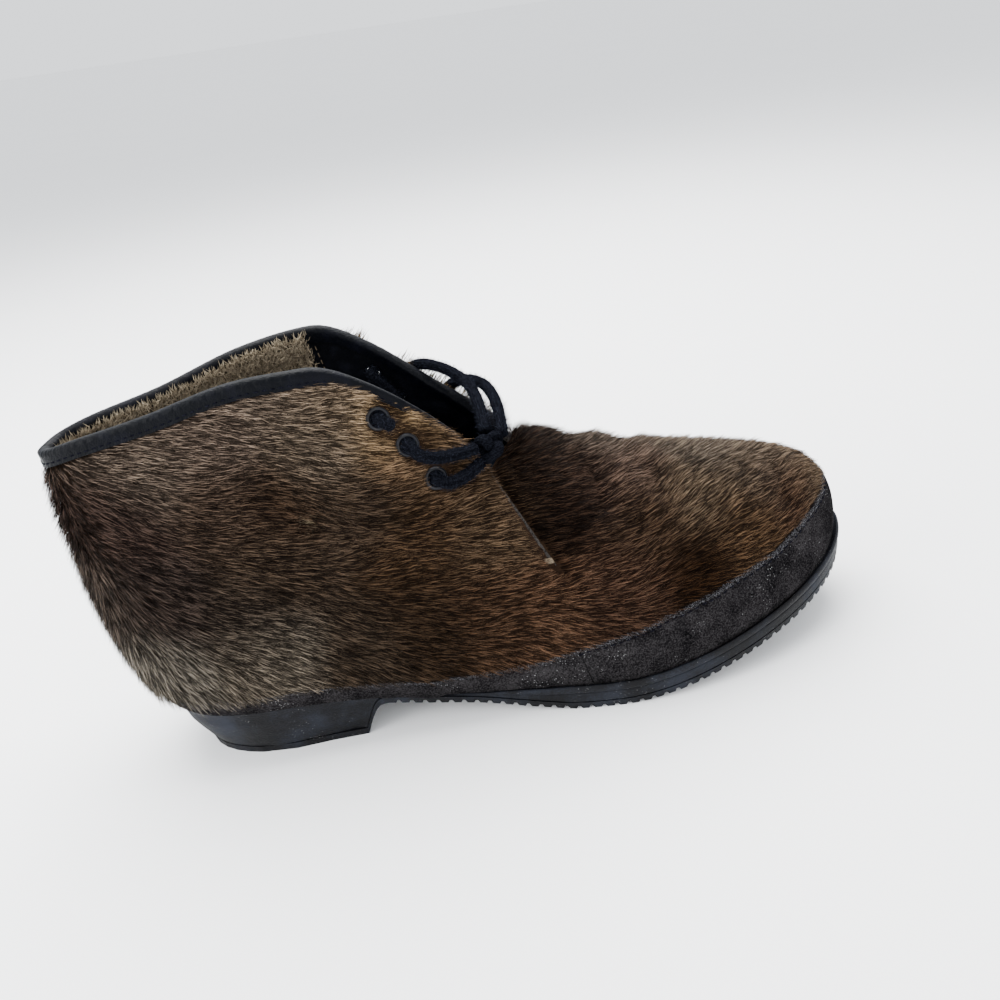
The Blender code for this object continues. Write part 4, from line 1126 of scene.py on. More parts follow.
    @staticmethod
    def map_cells(mesh: bpy.types.Mesh) -> None:
        """Gives each strand of three faces a cell of its own in the OFBake map."""
        strands = len(mesh.polygons) // 3
        columns = int(math.ceil(math.sqrt(strands)))
        cell = np.arange(strands)
        corner = np.stack([cell % columns, cell // columns], axis=1)[:, None, :]
        blade = np.array([(0.1, 0.1), (0.9, 0.1), (0.85, 0.5), (0.1, 0.1), (0.85, 0.5), (0.15, 0.5)])
        blade = np.concatenate([blade, [(0.15, 0.5), (0.85, 0.5), (0.5, 0.9)]])
        layer = mesh.uv_layers.new(name="OFBake")
        layer.data.foreach_set("uv", ((corner + blade[None]) / columns).ravel())


def sown(
    name: str,
    points: np.ndarray,
    flow: np.ndarray,
    long: Any = 1.0,
    cover: Any = 1.0,
    more: dict[str, np.ndarray] | None = None,
) -> bpy.types.Object:
    """A sheet for strands to grow on.

    Args:
        name: Its name.
        points: A grid of points.
        flow: The direction of the strands at each point.
        long: The strands' length at each point, as a share of the strand's own.
        cover: How dense they are, against one another.
        more: Further attributes: numbers, or colours of three shares.

    Returns:
        The sheet.
    """
    rows, columns = points.shape[:2]
    made = mesh_object(name, points, grid_quads(rows, columns).tolist(), [], merge=False)
    mesh = made.data
    normal = np.array([v.normal for v in mesh.vertices])
    if np.mean(np.sum(normal * flow.reshape(-1, 3), axis=1)) < 0:
        mesh.flip_normals()
    shape = (rows, columns)
    values = {"long": np.broadcast_to(long, shape), "cover": np.broadcast_to(cover, shape), **(more or {})}
    mesh.attributes.new("flow", "FLOAT_VECTOR", "POINT").data.foreach_set("vector", flow.ravel())
    for label, value in values.items():
        if value.ndim == 3:
            colour = np.concatenate([value, np.ones((*shape, 1))], axis=-1)
            mesh.attributes.new(label, "FLOAT_COLOR", "POINT").data.foreach_set("color", colour.ravel())
        else:
            mesh.attributes.new(label, "FLOAT", "POINT").data.foreach_set("value", np.ravel(value))
    return made


@dataclass(frozen=True)
class Stitches:
    """Threads set at even steps along lines."""

    name: str
    pitch: float
    length: float
    radius: float

    def stitch(self) -> bpy.types.Object:
        """One stitch: a bowed bead that dips at both ends."""
        rings, sides = 7, 6
        along = np.linspace(-1, 1, rings)
        girth = np.sqrt(np.clip(1 - along**4, 0, 1)) * self.radius
        angle = np.arange(sides) * 2 * math.pi / sides
        lift = -self.radius * along**2
        points = [
            (a * self.length / 2, g * math.cos(t), up + g * math.sin(t))
            for a, g, up in zip(along, np.maximum(girth, 0.02 * MM), lift)
            for t in angle
        ]
        faces = grid_quads(rings, sides, closed=True).tolist()
        return mesh_object(f"{self.name}_stitch", np.array(points) + ORIGIN, faces, [])

    def tree(self, shape: bpy.types.Object) -> Grower:
        """The tree that sets copies of a stitch along lines."""
        inputs = (("Pitch", "NodeSocketFloat"), ("Finish", "NodeSocketMaterial"))
        grower = Grower(f"{self.name}_sewing", inputs)
        curve = grower.node("GeometryNodeMeshToCurve", {}, {0: grower.given("Geometry")})
        sockets = {"Curve": curve.outputs[0], "Length": grower.given("Pitch")}
        spots = grower.node("GeometryNodeCurveToPoints", {"mode": "LENGTH"}, sockets)
        sockets = {"Vector": spots.outputs["Tangent"]}
        laid = grower.node("FunctionNodeAlignRotationToVector", {"axis": "X"}, sockets)
        sockets = {"Rotation": laid.outputs[0], "Vector": grower.named("out", "FLOAT_VECTOR")}
        settings = {"axis": "Z", "pivot_axis": "X"}
        turned = grower.node("FunctionNodeAlignRotationToVector", settings, sockets)
        grower.closes(spots.outputs["Points"], shape, turned.outputs[0], (1, 1, 1))
        return grower

    def sew(self, slot: str, finish: bpy.types.Material, name: str, lines: Any, outs: Any) -> None:
        """Sews along lines and places the piece.

        Args:
            slot: The piece's slot.
            finish: The thread's material.
            name: The piece's name.
            lines: Points of one line, or several lines of the same count.
            outs: Directions out of the surface at those points.
        """
        lines, outs = np.asarray(lines), np.asarray(outs)
        count = lines.shape[-2]
        points = lines.reshape(-1, 3)
        starts = range(0, len(points), count)
        edges = [(first + i, first + i + 1) for first in starts for i in range(count - 1)]
        mesh = bpy.data.meshes.new(name)
        mesh.from_pydata((points - ORIGIN).tolist(), edges, [])
        mesh.attributes.new("out", "FLOAT_VECTOR", "POINT").data.foreach_set("vector", outs.ravel())
        shape = self.stitch()
        made = self.tree(shape).grown(name, linked(name, mesh), {"Pitch": self.pitch, "Finish": finish})
        made.data.shade_smooth()
        bpy.data.objects.remove(shape)
        placed(made, slot)


@dataclass(frozen=True)
class Studio:
    """The camera at the photograph's angle, a pale floor and soft light."""

    yaw: float = 7.241
    pitch: float = 27.245
    roll: float = -8.272
    spot: tuple[float, float, float] = (0.08416, -0.35098, 0.25115)
    lens_pixels: float = 981
    picture_pixels: float = 1000
    sensor: float = 36
    shift: float = -0.07
    world_light: tuple[float, float, float, float] = (0.93, 0.96, 1.0, 1)
    world_strength: float = 1.7
    half_floor: float = 40.0
    # Name, spot, aim, size, power
    lamps: tuple = (
        ("top_softbox", (0.05, 0.35, 0.95), (0.1, 0.0, 0.05), 1.1, 46),
        ("left_softbox", (-0.9, -0.35, 0.55), (0.08, 0.0, 0.06), 0.8, 16),
        ("front_fill", (0.5, -1.1, 0.5), (0.1, 0.0, 0.06), 0.9, 6),
    )

    def build(self, finishes: Finishes) -> None:
        """Makes the camera, the floor, the lamps and the world."""
        yaw, pitch, roll = (math.radians(v) for v in (self.yaw, self.pitch, self.roll))
        ahead = Vector((math.sin(yaw) * math.cos(pitch), math.cos(yaw) * math.cos(pitch), -math.sin(pitch)))
        right = Vector((math.cos(yaw), -math.sin(yaw), 0))
        up = right.cross(ahead)
        tilt, lean = math.cos(roll), math.sin(roll)
        right, up = right * tilt + up * lean, up * tilt - right * lean
        data = bpy.data.cameras.new("camera")
        data.lens = self.lens_pixels * self.sensor / self.picture_pixels
        data.sensor_width, data.shift_x, data.clip_start = self.sensor, self.shift, 0.01
        camera = linked("camera", data)
        matrix = Matrix((right, up, -ahead)).transposed().to_4x4()
        matrix.translation = Vector(self.spot)
        camera.matrix_world = matrix
        bpy.context.scene.camera = camera
        for lamp in self.lamps:
            self.lamp(*lamp)
        world = bpy.data.worlds.new("studio")
        world.use_nodes = True
        colour, strength = world.node_tree.nodes["Background"].inputs[:2]
        colour.default_value, strength.default_value = self.world_light, self.world_strength
        bpy.context.scene.world = world
        corners = np.array([(-1, -1, 0), (1, -1, 0), (1, 1, 0), (-1, 1, 0)]) * self.half_floor + ORIGIN
        floor = mesh_object("floor", corners, [(0, 1, 2, 3)], [finishes.floor], merge=False)

    def lamp(self, name: str, spot: tuple, aim: tuple, size: float, power: float) -> None:
        """A square soft lamp turned to a point."""
        data = bpy.data.lights.new(name, "AREA")
        data.size, data.energy = size, power
        made = linked(name, data)
        made.location = spot
        made.rotation_euler = (Vector(aim) - Vector(spot)).to_track_quat("-Z", "Y").to_euler()


@lru_cache(maxsize=1)
def seats() -> dict[str, tuple[np.ndarray, np.ndarray]]:
    """For each eyelet, the point on the quarter's face and the direction out of it."""
    found = {}
    for side in Side:
        for number, (place, share) in enumerate(FORM.eyelets, 1):
            at = np.array(place), np.array(share)
            found[f"{side.word}_{number}"] = (FORM.skin(side, *at), FORM.outwards(side, *at))
    return found


@dataclass
class Laces:
    """One lace: through the eyelets, over the tongue, into a knot, with two frayed ends."""

    finishes: Finishes
    radius: float = 2.2 * MM
    sides: int = 14
    inside: float = 3.1 * MM
    outside: float = 1.55 * MM
    bar_rise: float = 9 * MM
    # Millimetres from the lowest outer eyelet. Run 2 starts from its own eyelet and passes on to the lowest
    knot_centre: tuple[float, float, float] = (21.1, 7.9, 4.4)
    knot_half: tuple[float, float, float] = (5.6, 5.6, 5.2)
    run_2: tuple = (
        (3.3, -5.5, -2.2), (5.6, -5.1, -0.7), (9.5, -2.6, 1.2), (13.5, 1.0, 3.6), (16.2, 4.8, 6.1),
    )
    run_3: tuple = ((3.6, -5.3, -0.4), (8.1, -3.8, -0.6), (13.1, 0.2, -0.2), (17.4, 4.4, 0.9))
    end_a: tuple = (
        (20.6, 12.1, 8.4), (21.0, 19.7, 12.0), (20.0, 32.7, 17.1), (16.4, 42.7, 20.4),
        (9.7, 51.2, 23.0), (2.6, 57.7, 23.6), (-2.9, 62.2, 21.1), (-5.4, 64.2, 16.6),
    )
    end_b: tuple = (
        (26.7, 11.3, 6.6), (27.3, 18.7, 9.4), (27.4, 28.7, 13.5), (25.1, 41.7, 15.8),
        (19.1, 51.2, 16.0), (12.1, 58.2, 12.6), (8.6, 61.2, 7.1),
    )

    def tube(
        self, name: str, points: Any, radius: float, taper: float = 0.0
    ) -> tuple[bpy.types.Object, np.ndarray]:
        """A lace along a smooth line.

        Args:
            name: Its name.
            points: Points that it passes through, x from the back of the heel.
            radius: Its radius.
            taper: How much of the radius is lost at the last end.

        Returns:
            The lace and the points of its centre line.
        """
        line = open_spline(points, 0.8 * MM)
        tangent = unit(np.gradient(line, axis=0))
        side, _ = across(tangent[0], [0.3, 0.2, 1.0])
        angle = np.arange(self.sides) * 2 * math.pi / self.sides
        run = np.concatenate([[0], np.cumsum(np.linalg.norm(np.diff(line, axis=0), axis=1))])
        left = np.clip((run[-1] - run) / (8 * MM), 0, 1)
        girth = radius * (1 - taper * (1 - left) ** 2) * (1 + 0.03 * np.sin(run / MM * 1.7))
        rings = []
        for spot, way, size in zip(line, tangent, girth):
            side = unit(side - way * np.dot(side, way))
            other = np.cross(way, side)
            rings.append(spot + size * (np.cos(angle)[:, None] * side + np.sin(angle)[:, None] * other))
        rings = np.array(rings)
        for end in (0, -1):
            rings[end] = line[end] + (rings[end] - line[end]) * 0.7
        made = swept(name, rings, self.finishes.lace)
        self.braid(made.data, line, run)
        return made, line

    @staticmethod
    def from_eyelet(number: int, points: tuple) -> np.ndarray:
        """Points given from an outer eyelet, passing on to the lowest one."""
        found = seats()
        start, lowest = found[f"outer_{number}"][0], found["outer_3"][0]
        share = np.linspace(0, 1, len(points))[:, None]
        return start * (1 - share) + lowest * share + np.array(points) * MM

    @staticmethod
    def braid(mesh: bpy.types.Mesh, line: np.ndarray, run: np.ndarray) -> None:
        """Stores how far along the lace and how far round it each point lies, for the weave."""
        points = np.array([v.co for v in mesh.vertices]) + ORIGIN
        nearest = np.array([np.argmin(np.linalg.norm(line - p, axis=1)) for p in points])
        away = points - line[nearest]
        tangent = unit(np.gradient(line, axis=0))[nearest]
        flat = unit(np.cross(tangent, [0.2, 0.3, 1.0]))
        turn = np.arctan2(np.sum(away * np.cross(tangent, flat), axis=1), np.sum(away * flat, axis=1))
        mesh.attributes.new("run", "FLOAT", "POINT").data.foreach_set("value", run[nearest] / MM)
        mesh.attributes.new("round", "FLOAT", "POINT").data.foreach_set("value", turn)

    def free_end(self, name: str, points: tuple) -> np.ndarray:
        """A free end of the lace, standing for the CAD node of its name. Returns its centre line."""
        made, line = self.tube(name, self.from_eyelet(3, points), self.radius, taper=0.25)
        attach(made, "root")
        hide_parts(name)
        return line

    def knot(self) -> bpy.types.Object:
        """A tight knot: the lace wound twice about itself with one turn across."""
        centre = seats()["outer_3"][0] + np.array(self.knot_centre) * MM
        radius = 2.15 * MM
        reach = np.array(self.knot_half) * MM - radius * 0.8
        t = np.linspace(0, 2 * math.pi, 49)[:-1]
        round_x, round_y = np.sin(t) + 2 * np.sin(2 * t), np.cos(t) - 2 * np.cos(2 * t)
        winding = np.stack([round_x, round_y, -3 * np.sin(3 * t)], axis=-1) / 3 * reach
        turn = np.array(Matrix.Rotation(0.6, 3, "X") @ Matrix.Rotation(0.5, 3, "Y"))
        made, _ = self.tube("lace_knot", centre + winding @ turn.T, radius)
        return made

    @staticmethod
    def eyelet_run(first: str, second: str, depth: float, turn: float, rise: float = 0.0) -> list[np.ndarray]:
        """Points of the lace from one eyelet to another, on the face at depth."""
        (a, out_a), (b, out_b) = seats()[first], seats()[second]
        start, end = a + out_a * depth, b + out_b * depth
        lead, land = start + out_a * turn, end + out_b * turn
        steps = (0.2, 0.5, 0.8) if rise else (0.5,)
        middle = [lead + (land - lead) * t + np.array([0, 0, 4 * t * (1 - t) * rise]) for t in steps]
        return [start, lead, *middle, land, end]

    def build(self) -> None:
        """Makes the ends and the knot first, then the runs through the eyelets, then the fuzz."""
        knot = self.knot()
        placed(knot, "black_lace", "lace_knot")
        tips = [self.free_end("lace_end_a", self.end_a), self.free_end("lace_end_b", self.end_b)]
        found = seats()
        spots = {}
        for number in (2, 3):
            spot, out = found[f"outer_{number}"]
            spots[number] = [spot + out * self.outside, spot + out * (self.outside + 0.8 * self.radius)]
        bend = 1.2 * self.radius
        first, out = found["outer_1"]
        upper_run = [
            *self.from_eyelet(2, self.run_2)[::-1],
            *spots[2][::-1],
            *self.eyelet_run("outer_2", "outer_1", -self.inside, -bend),
            first + out * self.outside,
            first + out * 3.2 * MM + np.array([1.8, 0, -1.5]) * MM,
            first + out * 2.6 * MM + np.array([4.2, 0, -3.6]) * MM,
        ]
        lower_run = [
            *self.from_eyelet(3, self.run_3)[::-1],
            *spots[3][::-1],
            *self.eyelet_run("outer_3", "inner_3", -self.inside, -self.radius, self.bar_rise),
            *self.eyelet_run("inner_3", "inner_2", self.outside, bend),
            *self.eyelet_run("inner_2", "inner_1", -self.inside, -bend),
            found["inner_1"][0] + found["inner_1"][1] * 1.2 * MM,
        ]
        upper, upper_line = self.tube("lace_upper_run", upper_run, self.radius)
        placed(upper, "black_lace", "lace_run_2", "lace_inside_outer")
        nodes = ("lace_run_3", "lace_bar", "lace_outside_inner", "lace_inside_inner")
        lower, lower_line = self.tube("lace_lower_run", lower_run, self.radius)
        placed(lower, "black_lace", *nodes)
        self.fuzz([upper_line, lower_line, *tips])
        self.frayed(tips)

    def fuzz(self, lines: list[np.ndarray]) -> None:
        """Short fibres that stand off the laces."""
        beds = []
        for number, line in enumerate(lines):
            tangent = unit(np.gradient(line, axis=0))
            side, other = across(tangent, [0.3, 0.2, 1.0])
            angle = np.linspace(0, 2 * math.pi, 13)[None, :, None]
            out = np.cos(angle) * side[:, None] + np.sin(angle) * other[:, None]
            points = line[:, None] + out * self.radius * 0.95
            flow = unit(out * 0.6 + tangent[:, None] * 0.5)
            sheet = sown(f"fuzz_sheet_{number}", points, flow)
            beds.append((f"lace_fuzz_{number + 1}", sheet, 26 * len(line), 20 + number))
        strands = Strands("lace_fuzz", 1.6 * MM, 0.09 * MM, 0.3 * MM, jitter=0.8)
        strands.grow("black_lace", self.finishes.lace_fuzz, beds)

    def frayed(self, lines: list[np.ndarray]) -> None:
        """The brushes of loose yarn at the two tips."""
        beds = []
        for number, line in enumerate(lines):
            way = unit(line[-1] - line[-4])
            side, other = across(way, [0.1, 0.3, 1.0])
            angle = np.linspace(0, 2 * math.pi, 13)
            ring = np.cos(angle)[:, None] * side + np.sin(angle)[:, None] * other
            points = np.stack([line[-1] - way * 0.6 * MM + ring * r * MM for r in (0.1, 0.8, 1.5)])
            flow = np.stack([np.broadcast_to(way, ring.shape) + ring * 0.14 * r for r in (0, 1, 2)])
            sheet = sown(f"fray_{number}", points, unit(flow))
            beds.append((f"lace_fray_{number + 1}", sheet, 170, 40 + number))
        strands = Strands("lace_fray", 6.5 * MM, 0.16 * MM, 0.5 * MM, jitter=0.28)
        strands.grow("black_lace", self.finishes.lace_fuzz, beds)


@dataclass
class Sole:
    """The rubber: midsole with heel block and lip, and the ribbed outsole."""

    finishes: Finishes
    outsole: float = 3 * MM
    gap: float = 0.3 * MM
    lip: float = 1.6 * MM
    lip_set_in: float = 2.0 * MM
    insole: float = 3 * MM

    @staticmethod
    def places(finer: int = 3) -> np.ndarray:
        """Places along a side, closer together where the outline turns."""
        breast = FORM.place_at(Side.OUTER, FORM.heel_length)
        run = FORM.place_at(Side.OUTER, FORM.heel_length + FORM.breast_run)
        parts = (
            np.linspace(0, 0.14, 8 * finer),
            np.linspace(0.14, breast, 4 * finer)[1:],
            np.linspace(breast, run, 6 * finer)[1:],
            np.linspace(run, 0.8, 18 * finer)[1:],
            np.linspace(0.8, 1, 12 * finer)[1:],
        )
        return np.concatenate(parts)

    @staticmethod
    def ring(places: np.ndarray, inset: Callable, height: Callable) -> np.ndarray:
        """A ring round the sole, up the outer side and back down the inner one.

        Args:
            places: Places along a side.
            inset: How far in the ring lies, from the places.
            height: Its height, from the places and x.

        Returns:
            The ring's points.
        """
        inner = FORM.sides()[Side.INNER]
        opposite = np.interp(FORM.edge(Side.OUTER, places)[0], inner[1][:, 0], inner[0])
        back = slice(-2, 0, -1)
        rows = []
        for side, part, named in ((Side.OUTER, places, places), (Side.INNER, opposite[back], places[back])):
            x, y = FORM.edge(side, part, inset(named))
            rows.append(np.stack([x, y, height(named, x)], axis=-1))
        return np.concatenate(rows)

    @staticmethod
    def plate(name: str, rings: Any, finish: bpy.types.Material) -> bpy.types.Object:
        """A solid stacked from rings round the sole."""
        rings = np.asarray(rings, float)
        count, around = rings.shape[:2]
        faces = grid_quads(count, around, closed=True).tolist()
        half = around // 2
        for ring in (0, count - 1):
            for k in range(half):
                corners = (k, k + 1, (around - k - 1) % around, (around - k) % around)
                faces.append(list(dict.fromkeys(ring * around + c for c in corners)))
        return mesh_object(name, rings, faces, [finish], sharp=35)

    def lowered(self, points: np.ndarray, places: np.ndarray, share: float) -> np.ndarray:
        """Spreads a ring of the sole's side evenly where the heel is deep and the waist thin."""
        weight = 1 - FORM.forefoot(np.concatenate([places, places[-2:0:-1]]))
        x = points[:, 0]
        depth = FORM.sole_top(x) - FORM.sole_bottom(x) - self.outsole - self.gap
        points = points.copy()
        points[:, 2] = (1 - weight) * points[:, 2] + weight * (FORM.sole_top(x) - share * depth)
        return points

    def midsole(self) -> None:
        """The midsole, its rings rounded over between the solid's own."""
        places = self.places()

        def rim(fore: float, heel: float, lift: float) -> np.ndarray:
            """A ring near the sole's top edge."""
            return self.ring(
                places,
                lambda place: heel + (fore - heel) * FORM.forefoot(place),
                lambda place, x: FORM.sole_top(x) + lift * FORM.forefoot(place),
            )

        foot = self.ring(
            places,
            lambda place: FORM.heel_taper(place) + 0.4 * MM * FORM.forefoot(place),
            lambda place, x: FORM.sole_bottom(x) + self.outsole + 2 * self.gap,
        )
        lip, line = self.lip, 1.0 * MM
        marks = [
            rim(self.lip_set_in, 1.6 * MM, 0),
            rim(self.lip_set_in * 0.45, 0.6 * MM, lip * 0.6),
            rim(0, 0, 0),
            self.lowered(rim(0.1 * MM, 0.1 * MM, -lip), places, 0.12),
            self.lowered(rim(0.9 * MM, 0.4 * MM, -lip - line * 0.6), places, 0.25),
            self.lowered(rim(0.5 * MM, 0.5 * MM, -lip - line * 1.4), places, 0.45),
            foot,
        ]
        rings = [marks[0]]
        for k in range(1, len(marks) - 1):
            a, b, c, d = marks[k - 1], marks[k], marks[k + 1], marks[min(k + 2, len(marks) - 1)]
            rings += [through(a, b, c, d, t) for t in (0.0, 0.34, 0.67)]
        rings.append(marks[-1])
        placed(self.plate("midsole_dressed", rings, self.finishes.rubber), "black_rubber", "midsole")

    def sock(self) -> None:
        """The fleece sock on the board inside the boot."""
        places = self.places(2)

        def rim(further_in: float, lift: float) -> np.ndarray:
            """A ring of the sock, lifted off the sole."""
            return self.ring(
                places,
                lambda place: FORM.upper_inset(place) + FORM.wall + 2 * self.gap + further_in,
                lambda place, x: FORM.sole_top(x) + FORM.seat_gap + lift,
            )

        rings = [rim(3 * MM, self.insole), rim(0, self.insole - 0.6 * MM), rim(0, 0)]
        placed(self.plate("insole_sock", rings, self.finishes.fleece), "brown_fleece", "insole")

    def build(self) -> None:
        """Makes the midsole and the sock and gives the ribbed outsole its rubber."""
        self.midsole()
        self.sock()
        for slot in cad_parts["outsole"].material_slots:
            slot.material = self.finishes.rubber


@dataclass
class Upper:
    """The hide: quarters over the vamp, open at the collar and the throat, with its lining."""

    finishes: Finishes
    rows: int = 32
    fleece_end: float = 0.36
    hole: float = 3.3 * MM

    @staticmethod
    def places() -> np.ndarray:
        """Places of the ribs along a side. The flap's edge has two, so that the wall steps there."""
        flap = FORM.flap_place
        return np.concatenate(
            [
                np.linspace(0, flap, 96),
                np.linspace(flap + 0.0008, FORM.ridge_place, 8),
                np.linspace(FORM.ridge_place, FORM.pole_place, 44)[1:],
                np.linspace(FORM.pole_place, 1, 34)[1:],
            ]
        )

    def build(self) -> None:
        """Makes the closed wall and cuts the holes for the eyelets."""
        places = self.places()
        shares = np.linspace(0, 1, self.rows + 1)
        outer, inner = {}, {}
        for side in Side:
            outer[side] = FORM.creased(side, places[:, None], shares[None, :])
            inner[side] = FORM.lining(side, places[:, None], shares[None, :])
        trail = np.concatenate([places, places[-2:0:-1]])
        faces_out = np.concatenate([outer[Side.OUTER], outer[Side.INNER][-2:0:-1]])
        faces_in = np.concatenate([inner[Side.OUTER], inner[Side.INNER][-2:0:-1]])
        faces_out[:, 0, 2] = faces_in[:, 0, 2] = FORM.sole_top(faces_out[:, 0, 0]) + FORM.seat_gap
        count, rows = len(trail), self.rows + 1
        faces, slots = [], []
        back = count * rows
        for c in range(count):
            d = (c + 1) % count
            here, there, ends = c * rows, d * rows, (trail[c], trail[d])
            steps = min(ends) <= FORM.flap_place < max(ends)
            lining = 2 if max(ends) <= self.fleece_end else 3 if max(ends) <= FORM.flap_place else 4
            for r in range(self.rows):
                faces.append((here + r, there + r, there + r + 1, here + r + 1))
                on_step = steps and shares[r] > FORM.seam_share(FORM.flap_place) - 0.02
                slots.append(1 if on_step else 0)
                faces.append((back + here + r, back + here + r + 1, back + there + r + 1, back + there + r))
                slots.append(lining)
            faces.append((here, back + here, back + there, there))
            slots.append(1)
            if min(ends) < FORM.ridge_place - 1e-6:
                top = self.rows
                faces.append((here + top, there + top, back + there + top, back + here + top))
                slots.append(1)
        use = self.finishes
        kinds = [use.hide, use.cut_edge, use.fleece, use.facing, use.felt]
        points = np.concatenate([faces_out.reshape(-1, 3), faces_in.reshape(-1, 3)])
        wall = mesh_object("upper_hide", points, faces, kinds, slots, sharp=60)
        placed(self.holed(wall), "brown_hair_hide", "upper")

    def holed(self, wall: bpy.types.Object) -> bpy.types.Object:
        """The wall with six holes for the eyelets."""
        shape = bmesh.new()
        for spot, out in seats().values():
            turn = Vector(out).to_track_quat("Z", "Y").to_matrix().to_4x4()
            place = Matrix.Translation(Vector(spot - ORIGIN)) @ turn
            sizes = {"segments": 20, "radius1": self.hole, "radius2": self.hole, "depth": 14 * MM}
            bmesh.ops.create_cone(shape, cap_ends=True, matrix=place, **sizes)
        mesh = bpy.data.meshes.new("eyelet_holes")
        shape.to_mesh(mesh)
        shape.free()
        cutter = linked("eyelet_holes", mesh)
        cut = wall.modifiers.new("eyelet_holes", "BOOLEAN")
        cut.operation, cut.object = "DIFFERENCE", cutter
        made = settled("upper_hide", wall)
        bpy.data.objects.remove(cutter)
        return made


